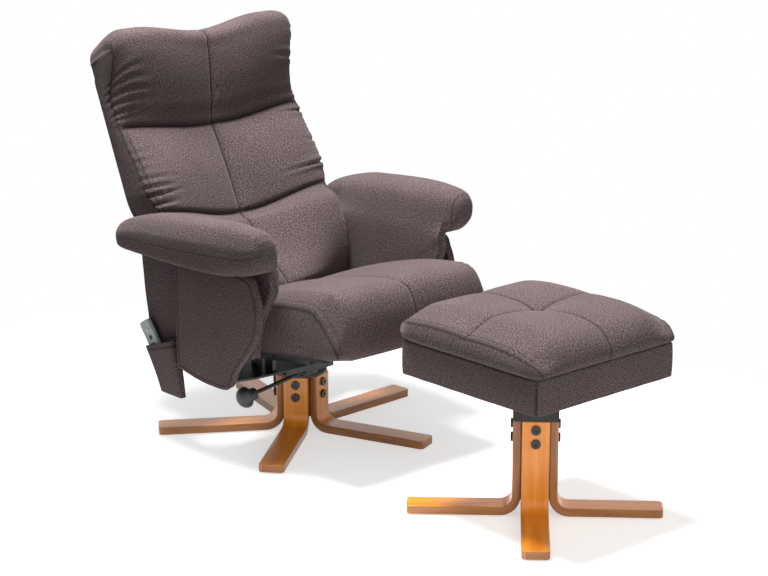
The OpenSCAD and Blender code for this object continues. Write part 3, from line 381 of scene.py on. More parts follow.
def make_cloth():
    """Plain weave: height = sin(2 pi u / pitch) * sin(2 pi v / pitch), shades from drawn-out noise."""
    material, feed = fresh("upholstery", Roughness=0.92, Sheen_Weight=0.22, Sheen_Roughness=0.45,
                                 Specular_IOR_Level=0.18, Sheen_Tint=srgb(224, 206, 206))
    uv = add_node("UVMap", uv_map="cloth").outputs[0]
    ways = add_node("SeparateXYZ", {0: uv}).outputs
    weave = times(*(maths("SINE", times(ways[k], 2 * np.pi / YARN_PITCH)) for k in (0, 1)))
    warp, weft = (noise(uv, GRAIN, 2.5, 0.65, way) for way in ((1, DRAWN_OUT, 1), (DRAWN_OUT, 1, 1)))
    shade = times(plus(warp, weft), 0.5)
    colour = ramp(shade, (0.43, YARN_DARK), (0.57, YARN_LIGHT), (0.5, YARN_MID))
    patch = ramp(noise(uv, 7, 2), (0.35, (0.93, 0.92, 0.93, 1)), (0.65, (1.05, 1.05, 1.04, 1)))
    colour = blend_colours(1, colour, patch, "MULTIPLY")
    # Painted shade: the seam mark darkens the cloth towards a near black where shadow falls in seams and
    # dents.
    seam = times(mark("seam")["Fac"], 0.9)
    feed("Base Color", blend_colours(seam, colour, PAINTED_SEAM_SHADOW))
    feed("Normal", bump(plus(times(weave, 0.5), times(shade, 0.8)), 0.25, 0.16 * MM))
    return material


cloth = make_cloth()
thread, feed = fresh("seam_thread", Roughness=0.7)
feed("Base Color", ramp(noise(own_place(), 900), (0.3, THREAD_DARK), (0.7, THREAD_LIGHT)))
print("cloth and thread are ready")

# %% [markdown]
# Seams show by their thread and by painted shade. A line of stitches follows a seam a few millimetres
# to one side: each stitch is a tiny bead with pointed ends, set along the line and sunk halfway into the
# cloth.
# There are thousands, so a bead has only a few faces, and all the beads of a seam are one mesh.
# %% Stitches
STITCH_LEN, STITCH_PITCH, STITCH_R, STITCH_SIDES = 4.2 * MM, 6 * MM, 0.55 * MM, 6
BEAD_ALONG, BEAD_GIRTH = np.array((-1, -0.5, 0.5, 1)), np.array((0.15, 1, 1, 0.15))


def stitch_lines(name, lines, body):
    """Beads along lines of (points, normals): centre + tangent * along + ring * radius * girth."""
    a = np.linspace(0, 2 * np.pi, STITCH_SIDES, endpoint=False)[:, None]
    along, girth = (v[:, None, None] for v in (BEAD_ALONG * STITCH_LEN / 2, BEAD_GIRTH * STITCH_R))
    beads = []
    for points, normals in lines:
        run = run_of(points)
        at = np.arange(STITCH_PITCH / 2, run[-1], STITCH_PITCH)
        centre, normal = read_along(run, points, at), read_along(run, normals, at)
        tangent = unit(read_along(run, points, at + MM) - read_along(run, points, at - MM))
        normal = unit(normal - (normal * tangent).sum(1, keepdims=True) * tangent)
        ring = np.cos(a) * normal[:, None] + np.sin(a) * np.cross(tangent, normal)[:, None]
        bead = centre[:, None, None] + tangent[:, None, None] * along + ring[:, None] * girth
        beads.append(bead.reshape(len(at), -1, 3))
    beads = join(beads)
    n = STITCH_SIDES
    i, j = (g.ravel() for g in np.meshgrid(np.arange(len(girth) - 1), np.arange(n), indexing="ij"))
    quads = np.stack([i * n + j, i * n + (j + 1) % n, (i + 1) * n + (j + 1) % n, (i + 1) * n + j], axis=1)
    faces = (quads + (np.arange(len(beads)) * beads.shape[1])[:, None, None]).reshape(-1, 4)
    dress(link(name, smooth_mesh(name, beads, faces, thread)), body)
    print(name, len(beads), "stitches")


def grid_normals(world, whole):
    """Normals of a grid: the cross product of its two directions, away from the whole's middle."""
    normal = unit(np.cross(np.gradient(world, axis=0), np.gradient(world, axis=1)))
    return normal * np.sign(np.sum(normal * (world - whole.reshape(-1, 3).mean(0))))


def beside(world, normals, columns, rows):
    """Points and normals at fractional places on a grid: bilinear between the four nearest points."""
    r, c = np.broadcast_arrays(np.asarray(rows, float), np.asarray(columns, float))
    r0, c0 = (np.clip(np.floor(v).astype(int), 0, size - 2) for v, size in zip((r, c), world.shape))
    fr, fc = (r - r0)[:, None], (c - c0)[:, None]
    return [g[r0, c0] * (1 - fr) * (1 - fc) + g[r0 + 1, c0] * fr * (1 - fc)
            + g[r0, c0 + 1] * (1 - fr) * fc + g[r0 + 1, c0 + 1] * fr * fc for g in (world, normals)]


print("stitches ready")

# %% [markdown]
# A cushion is sewn from panels, so its shape is a chain with seams. The chain runs over the front of
# the cushion in side view, and it is known at the middle seam and at the side seam. Between them it
# turns from one into the other. The stuffing then lifts each panel off its seams, and side walls and
# a flat floor close the body. These functions make the back, the seat and the footstool's lid.
# %% Functions for the three cushions
SIDE_WALL = 30 * MM


def cushion_grid(middle, side, rows, stations, floor, wall_steps, shape, turn_from=0.1):
    """Closed grid of (x share, along, off): the front, a side wall, the floor and the other wall.

    shape(u, along, off) moves the front's points, and the middle chain turns into the side's one from
    the share turn_from outwards: chain = mix(middle, side, smooth_step((|u| - from) / (1 - from))).
    """
    u = stations[None, :]
    k = smooth_step((np.abs(u) - turn_from) / (1 - turn_from))[..., None]
    front = mix(along_chain(middle, rows)[:, None], along_chain(side, rows)[:, None], k)
    front = shape(u, front[..., 0], front[..., 1])
    start, end = front[:1, :, 0], front[-1:, :, 0]
    reach = np.clip((front[..., 0] - start) / (end - start), 0, 1)
    even = np.linspace(0, 1, len(rows))[:, None]
    under = xyz(start + (end - start) * mix(reach, even, 0.15), floor)
    v = ((1 - np.cos(np.pi * np.arange(1, wall_steps) / wall_steps)) / 2)[:, None]
    walls = mix(front[:, -1:], under[:, -1:], v), mix(under[:, :1], front[:, :1], v)
    loop = join([front, walls[0], under[:, ::-1], walls[1]], axis=1)
    ones, bulge, none = np.ones(wall_steps - 1), np.sin(np.pi * v.ravel()), 0 * stations
    x_share = join([stations, ones, stations[::-1], -ones])
    return x_share, join([none, bulge, none, -bulge]), loop


def seam_gaps(x_share, lift, stations, half):
    """For each column: metres from the middle seam and from the side seam, and whether it's in front."""
    gap = (1 - np.abs(x_share)) * half + np.abs(lift) * SIDE_WALL
    return np.abs(x_share) * half, gap, np.arange(len(x_share)) < len(stations)


def painted_seam_shade(*distances, width=2.6 * MM):
    """Painted shade: 1 on a seam and 0 away from it, which the cloth shader darkens as shadow in the seam."""
    return np.clip(sum(bell(d, width) for d in distances), 0, 1)


def painted_topstitch_shade(gap):
    """Painted shade of two faint dents where the border is stitched down, 5 and 12 mm beside its seam."""
    return 0.85 * sum(bell(gap - d, 1.4 * MM) for d in (5 * MM, 12 * MM))


def creases(u, share, rows, length):
    """Depth of the listed creases: a narrow trough across, which fades towards the middle.

    A row holds the side, the share of the length, how far it reaches in, its depth in mm and its rise.
    """
    depth = 0 * share
    for side, at, reach, deep, rise in rows:
        off_line = (share - at - rise * (1 - np.abs(u))) * length
        trough = bell(off_line, 3.6 * MM) - 0.6 * bell(np.abs(off_line) - 9 * MM, 5 * MM)
        depth = depth + deep * MM * smooth_step((side * u - 1 + reach) / reach) * trough
    return depth


def make_cushion(name, world, stations, marks, body, fill, sewn_rows, sewn_at, cross_rows=()):
    """The cover, and stitches at two shares beside each side seam and along the listed rows."""
    cover = grid_object(f"{name}_cushion_cover", world, cloth, seam=marks)
    dress(cover, body, f"{name}_cushion", fill=fill)
    front = world[:, : len(stations)]
    normals = grid_normals(front, world)
    shares = (-sewn_at[0], -sewn_at[1], sewn_at[1], sewn_at[0])
    lines = [beside(front, normals, place_in(stations, u), np.arange(*sewn_rows)) for u in shares]
    lines += [beside(front, normals, np.arange(2, len(stations) - 2), row) for row in cross_rows]
    stitch_lines(f"{name}_stitches", lines, body)
    print(name, "cushion:", len(cover.data.polygons), "faces")


print("cushion functions ready")

# %% [markdown]
# The back is two columns of three stuffed panels. The head panels are the fattest, the middle ones dip
# where the sitter's back needs room, and the lowest ones push the loins forward. The top corners rise
# like ears, the row seams rise towards the sides, and a border of cloth runs down each side. The cloth
# puckers where it was gathered into the border's seam, so the front gets small folds and a few creases.
# %% Back cushion
PIVOT, BACK_LEAN = (183 * MM, 257 * MM), 23.5
BACK_LIFT, BACK_LEN, BACK_DEPTH, BACK_PUFF = 38 * MM, 709 * MM, 182 * MM, 24 * MM
WAIST_HALF, HEAD_HALF, WAIST_TOP, FLARE = 255 * MM, 290 * MM, 0.27, 0.2
CORNER_R, EAR_RISE, HEAD_RISE, BACK_FLOOR = 48 * MM, 27 * MM, 10 * MM, -3 * MM
# Places in the two chains below where the row seams run.
BACK_SEAMS = (7, 9)
ROW_SHARES, ROW_RISES = np.array((0.02, 0.325, 0.67, 0.985)), np.array((0, 0.043, 0.032, 0))
# Height and depth of the front, as shares, from its foot over the head to its rear edge.
BACK_MIDDLE = [(0, -0.02), (0, 0.86), (0.014, 0.97), (0.075, 0.85), (0.13, 0.69), (0.2, 0.57), (0.28, 0.47),
               (0.325, 0.34), (0.5, 0.29), (0.67, 0.245), (0.75, 0.36), (0.83, 0.49), (0.91, 0.6),
               (0.965, 0.65), (0.996, 0.45), (0.975, -0.02)]
BACK_SIDE = [(0, -0.02), (0, 0.52), (0.03, 0.62), (0.08, 0.75), (0.15, 0.845), (0.22, 0.885), (0.3, 0.84),
             (0.368, 0.56), (0.53, 0.455), (0.702, 0.275), (0.77, 0.345), (0.85, 0.53), (0.915, 0.67),
             (0.965, 0.69), (0.996, 0.45), (0.975, -0.02)]
BACK_CREASES = [(-1, 0.87, 0.3, 4, 0.02), (-1, 0.845, 0.34, 4.5, -0.02), (-1, 0.815, 0.42, 6, -0.03),
                (-1, 0.785, 0.34, 5, -0.01), (-1, 0.755, 0.28, 4, 0.01), (-1, 0.6, 0.3, 4, 0.01),
                (-1, 0.565, 0.25, 4, 0), (-1, 0.5, 0.45, 6, -0.02), (-1, 0.465, 0.4, 6, -0.01),
                (-1, 0.435, 0.5, 7, 0.02), (-1, 0.4, 0.35, 5, 0.01), (1, 0.66, 0.35, 6, 0.02),
                (1, 0.45, 0.6, 9, -0.035), (1, 0.84, 0.4, 6, 0.02), (1, 0.54, 0.3, 5, 0)]


def back_half(share):
    """Half width of the back: the waist's, then the head's, with an S curve between."""
    return mix(WAIST_HALF, HEAD_HALF, smooth_step((share - WAIST_TOP) / FLARE))


def back_rows_at(u):
    """The row seams' height shares at a place across the back, one for each seam."""
    k = smooth_step((np.abs(u) - 0.1) / 0.9)
    return [share + rise * k for share, rise in zip(ROW_SHARES, ROW_RISES)]


def back_shape(u, share, depth):
    """Lifts the panels: depth + puff * swell across * swell along, less the folds and creases."""
    rows = back_rows_at(u)
    from_middle, from_side = np.abs(u) * HEAD_HALF, (1 - np.abs(u)) * HEAD_HALF
    front = smooth_step((depth - 0.1) / 0.1)
    row_puff = np.max([swell((share - a) / (b - a), 0.5) for a, b in zip(rows, rows[1:])], axis=0)
    gather = np.exp(-(1 - np.abs(u)) / 0.08)
    fold = mix(2.2, 1.2, smooth_step((share - 0.8) / 0.1)) * MM * gather * puckers(share * BACK_LEN, 23 * MM)
    near_row = np.min([np.abs(share - row) for row in rows[1:3]], axis=0) * BACK_LEN
    fold = fold + 1.2 * MM * np.exp(-near_row / (18 * MM)) * puckers(u * HEAD_HALF, 31 * MM)
    stuffed = BACK_PUFF * row_puff * swell(np.abs(u) / 0.97, 0.5)
    seam_bite = 5.5 * MM * (bell(from_middle, 7 * MM) + bell(near_row, 8 * MM))
    pull = (9 + 42 * smooth_step((share - 0.7) / 0.15)) * row_puff
    edge = pull * MM * np.exp(-(from_side / (12 * MM)) ** 1.2)
    lost = seam_bite + edge + fold + creases(u, share, BACK_CREASES, BACK_LEN)
    corner = np.clip((from_middle - HEAD_HALF + CORNER_R) / CORNER_R, 0, 1)
    rise = EAR_RISE * smooth_step(np.abs(u) / 0.7) - CORNER_R * (1 - np.sqrt(1 - corner**2)) + HEAD_RISE
    height = BACK_LIFT + share * BACK_LEN + rise * smooth_step((share - 0.7) / 0.3)
    return xyz(height, depth * BACK_DEPTH + (stuffed - lost) * front)


back_stations = clustered((-1, 0, 1), (64, 64))
back_rows = clustered((0, *BACK_SEAMS, 15), (100, 54, 100))
x_share, lift, loop = cushion_grid(BACK_MIDDLE, BACK_SIDE, back_rows, back_stations, BACK_FLOOR, 14,
                                   back_shape)
height_share = (loop[..., 0] - BACK_LIFT) / BACK_LEN
bulge = mix(1.5, 4, smooth_step((height_share - WAIST_TOP) / FLARE)) * MM
back_points = xyz(x_share * back_half(height_share) + lift * bulge, -loop[..., 1], loop[..., 0])
across, side_gap, front = seam_gaps(x_share, lift, back_stations, HEAD_HALF)
row_gap = [np.abs(back_rows[:, None] - row) * 32 * MM + (np.abs(lift) > 0) + ~front for row in BACK_SEAMS]
below_head = front * (1 - smooth_step((height_share - 0.64) / 0.06))
# Painted shade along the back's middle, side and row seams and beside the border's topstitching.
marks = painted_seam_shade(across, side_gap, *row_gap) + painted_topstitch_shade(side_gap) * below_head
stitched_rows = [place_in(back_rows, row) + 1.6 for row in BACK_SEAMS]
make_cushion("back", tilted(back_points, PIVOT, BACK_LEAN), back_stations, marks, "backrest", 0.85,
             (12, len(back_rows) - 18), (0.983, 0.959), stitched_rows)

# %% [markdown]
# The rear of the backrest is one plain, lightly padded panel on a plywood board. A padded plate is made
# from its outline alone: rings of the outline shrink towards its middle, first over a rounded edge and
# then over a face that swells a little. The same function makes the sides of the arms.
# %% Padded plates
SEAM_AT, RIGID_SHARE, INSET = 0.945, 0.955, 1 * MM


def padded_plate(name, outline, place, low, high, puff_low, puff_high, edge):
    """Closed plate: ring(s) = middle + (outline - middle) * s, at off = face + puff * (1 - s^4).

    outline is (k, 2) in the plate's plane, place(a, b, off) gives the world, low and high are the faces.
    """
    middle = (outline.max(0) + outline.min(0)) / 2
    reach = np.linalg.norm(outline - middle, axis=1).mean()
    bend = right_angle(5)
    shrink = 1 - edge * (1 - np.cos(bend)) / reach
    face = join([np.linspace(shrink[-1], 0.9, 14)[1:], np.linspace(0.88, 0.02, 12)])
    half = join([shrink, face])
    rise = join([edge * np.sin(bend) - edge, 0 * face])
    swollen = 1 - half**4
    groove = 1.4 * MM * bell((half - SEAM_AT) * reach, 2.5 * MM)
    s = join([half[::-1], [1], half])
    off = join([(low - rise - puff_low * swollen)[::-1], [(low + high) / 2],
                          high + rise + puff_high * swollen - groove])
    rings = (outline - middle)[None]
    plane = middle + rings * s[:, None, None]
    cut = join([shrink[-1] + edge * (np.pi / 2 - bend) / reach, face])
    wall = cut[:1] + (high - low - 2 * edge) / 2 / reach
    flat = middle + rings * join([cut[::-1], wall, cut])[:, None, None]
    pole = np.broadcast_to(middle, flat[:1].shape)
    # Painted shade along the stitched seam's groove, for the cloth shader.
    seam = join([[0], bell((s - SEAM_AT) * reach, 1.6 * MM), [0]])[:, None]
    world = with_poles(place(plane[..., 0], plane[..., 1], off[:, None]))
    return grid_object(name, world, cloth, uv=join([pole, flat, pole]), seam=seam)


def welt(name, line, radius, reference, body):
    """A round cord of cloth along a closed line: line + radius * (cos a * side + sin a * up)."""
    tangent = unit(np.roll(line, -1, axis=0) - np.roll(line, 1, axis=0))
    side = unit(np.cross(tangent, reference))
    up = np.cross(side, tangent)
    a = np.linspace(0, 2 * np.pi, 8, endpoint=False)[:, None]
    points = line[:, None] + radius * (np.cos(a) * side[:, None] + np.sin(a) * up[:, None])
    dress(grid_object(name, points, cloth, close=(True, True), seam=0.0), body)


def on_back(a, b, off):
    return tilted(xyz(a, -off, b), PIVOT, BACK_LEAN)


shares, turn = np.linspace(0, 0.93, 30), np.radians(np.arange(0, 91, 9))
half_outline = join([
    xyz(back_half(shares) - INSET, BACK_LIFT + shares * BACK_LEN * RIGID_SHARE),
    xyz(HEAD_HALF - INSET - CORNER_R * (1 - np.cos(turn)),
        BACK_LIFT + BACK_LEN * RIGID_SHARE - CORNER_R * (1 - np.sin(turn)))])
outline = resampled(join([half_outline, (half_outline * (-1, 1))[::-1]]), 200)
rear_panel = padded_plate("back_rear_panel", outline, on_back, -8.5 * MM, -1 * MM, 2 * MM, 0, 3 * MM)
dress(rear_panel, "backrest", "back_cover", fill=0.2)
welt("back_piping", on_back(*resampled(outline, 220).T, -6 * MM), 2.2 * MM, (0, -0.917, 0.399), "backrest")
print("rear panel:", len(rear_panel.data.polygons), "faces")

# %% [markdown]
# The seat is built as the back is. Its top panels run over the nose and down under the front edge, like
# a waterfall, and the side border narrows towards the nose. The seam of the border is stitched twice.
# %% Seat cushion
SEAT_Y, SEAT_Z, SEAT_LEAN = 33 * MM, 260 * MM, 8
SEAT_HALF, SEAT_LEN, SEAT_THICK, SEAT_PUFF = 256 * MM, 482 * MM, 143 * MM, 21 * MM
SEAT_MIDDLE = [(0, 0.02), (0, 0.62), (0.03, 0.71), (0.15, 0.78), (0.32, 0.87), (0.6, 0.968), (0.84, 1),
               (0.92, 0.985), (0.965, 0.89), (0.993, 0.68), (1, 0.42), (0.985, 0.1), (0.95, -0.07), (0.88, 0)]
SEAT_SIDE = [(0, 0.02), (0, 0.62), (0.03, 0.71), (0.16, 0.75), (0.34, 0.79), (0.6, 0.83), (0.8, 0.81),
             (0.875, 0.68), (0.923, 0.49), (0.975, 0.26), (0.985, 0.12), (0.975, 0.03), (0.93, -0.02),
             (0.86, 0)]
SEAT_CREASES = [(-1, 0.93, 0.3, 3, 0.01), (-1, 0.87, 0.35, 3, 0.02), (1, 0.9, 0.3, 4, 0),
                (1, 0.4, 0.3, 3, 0.03)]


def seat_shape(u, share, off):
    """Lifts the two top panels and pushes the nose out between its seams."""
    v = np.abs(u)
    top = smooth_step((off - 0.3) / 0.3)
    stuffed = SEAT_PUFF * swell(v, 0.36) * swell((share - 0.02) / 1.02) * top
    nose = SEAT_PUFF / 2 * swell(v) * smooth_step((share - 0.9) / 0.08)
    bite = 3.5 * MM * bell(v * SEAT_HALF, 8 * MM)
    gather = 0.7 * MM * np.exp(-(1 - v) / 0.07) * puckers(share * SEAT_LEN, 41 * MM)
    lost = (bite + gather + creases(u, share, SEAT_CREASES, SEAT_LEN)) * top
    return xyz(np.maximum(share * SEAT_LEN + nose, 0), off * SEAT_THICK + stuffed - lost)


seat_stations = clustered((-1, 0, 1), (56, 56))
seat_rows = clustered((0, 6.5, 13), (90, 100), pull=0.2)
x_share, lift, loop = cushion_grid(SEAT_MIDDLE, SEAT_SIDE, seat_rows, seat_stations, 0.3 * MM, 12, seat_shape,
                                   turn_from=0.84)
nose = smooth_step((loop[..., 0] / SEAT_LEN - 0.78) / 0.17)
round_under = nose * (1 - np.sqrt(1 - np.clip(1 - (loop[..., 1] + 8 * MM) / (46 * MM), 0, 1) ** 2))
seat_x = x_share * (SEAT_HALF - 26 * MM * round_under) + lift * 3 * MM
seat_world = tilted(xyz(seat_x, -loop[..., 0], loop[..., 1]), (SEAT_Y, SEAT_Z), SEAT_LEAN)
across, side_gap, front = seam_gaps(x_share, lift, seat_stations, SEAT_HALF)
# Painted shade along the seat's middle and side seams and beside the border's topstitching.
marks = painted_seam_shade(across + ~front, side_gap) + painted_topstitch_shade(side_gap) * front
make_cushion("seat", seat_world, seat_stations, marks, "seat", 0.85, (30, 172), (0.981, 0.954))

# %% [markdown]
# An arm is one rolled piece. The cover of its inner face goes up, rolls outwards over the crown and ends
# at a seam near the outer edge, above a side band that narrows to a leaf tip in front. Each section of
# the arm is a closed curve through a few control points, and the sections are set along the arm.
# %% Arm covers
ARM_IN, ARM_W, ARM_LOW, ARM_H = 261 * MM, 141 * MM, 495 * MM, 122 * MM
ARM_FRONT, ARM_REAR, PANEL_T = 272 * MM, 260 * MM, 26 * MM
ARM_ROWS = [(0, 0.28, 0.52, 0.45, 0.74), (0.011, 0.2, 0.64, 0.34, 0.87), (0.038, 0.13, 0.71, 0.2, 0.95),
            (0.083, 0.08, 0.76, 0.1, 1), (0.154, 0.045, 0.82, 0.04, 1.02), (0.224, 0.03, 0.86, 0.01, 1.03),
            (0.365, 0.03, 0.94, 0, 1), (0.5, 0.03, 0.99, 0, 0.95), (0.62, 0.04, 1, 0, 0.9),
            (0.733, 0.08, 0.99, 0, 0.85), (0.85, 0.18, 0.965, 0, 0.73), (0.93, 0.195, 0.94, 0, 0.62),
            (0.975, 0.22, 0.9, 0.02, 0.52), (1, 0.3, 0.83, 0.1, 0.42)]
PANEL_LINE = [(-165, 280), (-170, 323), (-182, 362), (-196, 391), (-216, 420), (-228, 439), (-236, 460),
              (-236.4, 505)]
PANEL_REAR, NOSE_END, PANEL_FOOT = 204 * MM, -236 * MM, 280 * MM
# Columns of a section: its crown, its outer seam, the stitches beside that, the middle of the cap's seam.
CROWN, SEAM, STITCH_COLUMN, CAP_COLUMN, CAP_AT = 30, 48, 45.5, 22, -259 * MM


def arm_section(y):
    """Closed sections (x, z) at stations y: inner face, roll, crown, outer seam, band and underside."""
    share = (y + ARM_FRONT) / (ARM_FRONT + ARM_REAR)
    table = open_curve(ARM_ROWS, 8)
    inner, outer, low, high = (np.interp(share, table[:, 0], table[:, k]) for k in (1, 2, 3, 4))
    inner, outer = ARM_IN + inner * ARM_W, ARM_IN + outer * ARM_W
    low, high = ARM_LOW + low * ARM_H, ARM_LOW + high * ARM_H
    line = open_curve(PANEL_LINE, 6) * MM
    on_panel = (y < PANEL_REAR) & (y > NOSE_END)
    foot = np.where(on_panel, np.interp(y, line[::-1, 0], line[::-1, 1]), low)
    foot = np.where(y > -165 * MM, np.where(on_panel, PANEL_FOOT, low), foot)
    foot = np.minimum(foot, low)
    face = np.where(on_panel, ARM_IN, inner)
    crown = mix(inner, outer, 0.58)
    belt = mix(low, high, 0.36)
    tuck = mix(0.42, 0.13, smooth_step(share / 0.3))
    heel = outer - (outer - inner) * tuck
    back = np.where(on_panel, ARM_IN + PANEL_T, inner + 4 * MM)
    rise = high - low
    feet = [np.where(on_panel, on, low + off * rise) for on, off in
            ((foot + 2 * MM, 0.02), (mix(foot, low, 0.5), 0.08), (mix(foot, low, 0.96), 0.16))]
    controls = [*((face, foot_z) for foot_z in feet),
                (inner, mix(low, belt, 0.8)), (mix(inner, crown, 0.16), mix(belt, high, 0.62)),
                (mix(inner, crown, 0.5), mix(belt, high, 0.92)), (crown, high),
                (mix(crown, outer, 0.6), mix(belt, high, 0.9)),
                (mix(crown, outer, 0.93), mix(belt, high, 0.52)),
                (outer, mix(belt, high, 0.25)), (mix(heel, outer, 0.85), mix(low, belt, 0.55)),
                (mix(heel, outer, 0.25), mix(low, belt, 0.06)), (mix(heel, inner, 0.3), low),
                (np.minimum(back + 6 * MM, mix(inner, heel, 0.7)), low), (back, mix(low, foot, 0.05)),
                (back, mix(low, foot, 0.6)), (back, foot + 2 * MM), (mix(face, back, 0.5), foot)]
    points = np.stack([xyz(x + 0 * y, z) for x, z in controls], axis=1)
    return closed_curve(points, 5)


def arm_cover(side):
    """The arm's grid: sections along Y, mirrored for the sitter's right, with a pole at each end."""
    y = join([(1 - np.cos(right_angle(14))) * 30 * MM - ARM_FRONT,
                        np.linspace(-240 * MM, -236.3 * MM, 4), np.linspace(-235.7 * MM, -165.5 * MM, 22),
                        np.linspace(-164 * MM, 203.6 * MM, 64), np.linspace(204.4 * MM, 228 * MM, 6),
                        ARM_REAR - (1 - np.sin(right_angle(14))) * 32 * MM])
    section = arm_section(y)
    fold = 0.7 * MM * puckers(y, 47 * MM)[:, None] * bell(np.arange(section.shape[1]) - 43, 4)
    section = section - xyz(fold, 0.4 * fold)
    near = [mix(section[:, SEAM - 1], section[:, k], 0.24)[:, None] for k in (SEAM - 2, SEAM)]
    section = join([section[:, : SEAM - 1], near[0], section[:, SEAM - 1 : SEAM], near[1],
                              section[:, SEAM:]], axis=1)
    cover = xyz(section[..., 0], y[:, None], section[..., 1]) * (-1 if side == "right" else 1, 1, 1)
    world = with_poles(cover)
    columns = np.arange(section.shape[1])
    # Painted shade along the outer seam and round the seam of the front cap.
    cap = bell(world[..., 1] - CAP_AT, 1.5 * MM) * (np.abs(columns - CAP_COLUMN) < 15)
    marks = np.clip((columns == SEAM) + 0.7 * cap, 0, 1)
    piece = grid_object(f"{side}_arm_cover", world, cloth, start=CROWN, seam=marks)
    dress(piece, "carriage", f"{side}_arm_panel", f"{side}_arm_pad", fill=0.8)
    normals = grid_normals(cover, cover)
    lines = [beside(cover, normals, STITCH_COLUMN, np.arange(6, len(y) - 8))]
    lines += [beside(cover, normals, np.arange(8, 37), row) for row in (7, 10)]
    stitch_lines(f"{side}_arm_stitches", lines, "carriage")
    print(side, "arm cover:", len(piece.data.polygons), "faces")


for side in ("right", "left"):
    arm_cover(side)

# %% [markdown]
# Below each arm the side is closed by a shield, a rounded plate with a bound edge, and behind it by a
# narrower panel that carries the pocket. Their outlines are curves through points, in millimetres.
# %% Shields and rear panels
SHIELD_LINE = [(93, 495), (93, 400), (93, 300), (92, 212), (83, 206), (22, 195), (-45, 190), (-111, 197),
               (-140, 245), (-186, 301), (-215, 342), (-230, 387), (-231, 427), (-217, 465),
               (-190, 494), (-60, 495)]
PANEL_BACK = [(96, 492), (96, 400), (96, 300), (96, 277), (150, 258), (211, 238), (231, 323), (243, 400),
              (244, 492), (170, 494)]
PLATE_EDGE, STITCHED_AT = 4 * MM, 0.925


def side_plate(name, line, low, high, puff, sign, node):
    """A padded plate upright at the arm's side, with a bound edge along its outline."""
    outline = resampled(open_curve(np.array(line + line[:1]), 8)[:-1] * MM, 180)

    def place(a, b, off):
        return xyz(sign * off, a, b)

    dress(padded_plate(name, outline, place, low, high, 0, puff, PLATE_EDGE), "carriage", node, fill=0.35)
    middle = (outline.max(0) + outline.min(0)) / 2
    inner = resampled(mix(middle, outline, STITCHED_AT), 180)
    line = place(*inner.T, high + puff * (1 - STITCHED_AT**4) + 0.1 * MM)
    normals = np.tile((sign, 0.0, 0.0), (len(line) + 1, 1))
    stitch_lines(name + "_stitches", [(join([line, line[:1]]), normals)], "carriage")
    welt(name + "_welt", place(*outline.T, high - 3 * MM), 2.4 * MM, (1, 0, 0), "carriage")


for sign, side in ((-1, "right"), (1, "left")):
    side_plate(f"{side}_shield", SHIELD_LINE, 304.3 * MM, 323 * MM, 4 * MM, sign, f"{side}_side_shield")
    side_plate(f"{side}_rear_side", PANEL_BACK, 299.3 * MM, 308 * MM, 1 * MM, sign, f"{side}_rear_panel")

# %% [markdown]
# The pocket is an open bag. Rings run from the middle of its floor up the outside, over the hem at the
# mouth and down the lining, so the bag has a real wall and can be looked into.
# %% Side pocket
POCKET_X, POCKET_LOW, MOUTH_Z, MOUTH_DROP = 299.2 * MM, 120 * MM, 271 * MM, 35 * MM
POCKET_FRONT, POCKET_REAR, POCKET_DEEP = (88 * MM, 106 * MM), (173 * MM, 212 * MM), (18 * MM, 38 * MM)
HEM_AT, LINING = 0.93, 2.8


def pocket_ring(level, inset, count=72):
    """Rounded rectangle at a level from floor (0) to mouth (1), drawn in by an inset."""
    y0, y1 = (mix(*pair, level) for pair in (POCKET_FRONT, POCKET_REAR))
    deep = mix(*POCKET_DEEP, level)
    a = np.linspace(0, 2 * np.pi, count, endpoint=False)
    square = [np.sign(wave) * np.abs(wave) ** 0.25 for wave in (np.cos(a), np.sin(a))]
    x = POCKET_X + deep / 2 + (deep / 2 - inset) * square[0]
    y = (y0 + y1) / 2 + ((y1 - y0) / 2 - inset) * square[1]
    mouth = MOUTH_Z - MOUTH_DROP * (y - POCKET_FRONT[1]) / (POCKET_REAR[1] - POCKET_FRONT[1])
    return xyz(-x, y, mix(POCKET_LOW + inset * (level < 0.5), mouth, level))


levels = join([[0, 0, 0, 0.004], np.linspace(0.02, 0.995, 22), [1, 1],
                         np.linspace(0.99, 0.03, 16), [0.03, 0.03]])
insets = join([[30, 12, 2, 0.6], np.full(22, 0), [0.6, 2.2], np.full(16, LINING), [12, 30]]) * MM
insets = np.minimum(insets, mix(*POCKET_DEEP, levels) / 2)
rings = np.stack([pocket_ring(level, inset) for level, inset in zip(levels, insets)])
hang = 1.6 * MM * np.sin(np.pi * levels)[:, None] * puckers(rings[..., 1], 60 * MM)
rings[..., 0] += hang * (rings[..., 0] < -POCKET_X - 8 * MM)
# Painted shade in a band round the bag just below the hem, on the outside and on the lining.
pocket = grid_object("pocket_bag", rings, cloth, seam=bell((levels[:, None] - 0.9) * 150, 1.6))
dress(pocket, "carriage", "side_pocket")
hem = pocket_ring(HEM_AT, -0.2 * MM, 120)
hem = hem[hem[:, 0] < -POCKET_X - 20 * MM]
stitch_lines("pocket_stitches", [(hem, np.tile((-1.0, 0, 0), (len(hem), 1)))], "carriage")

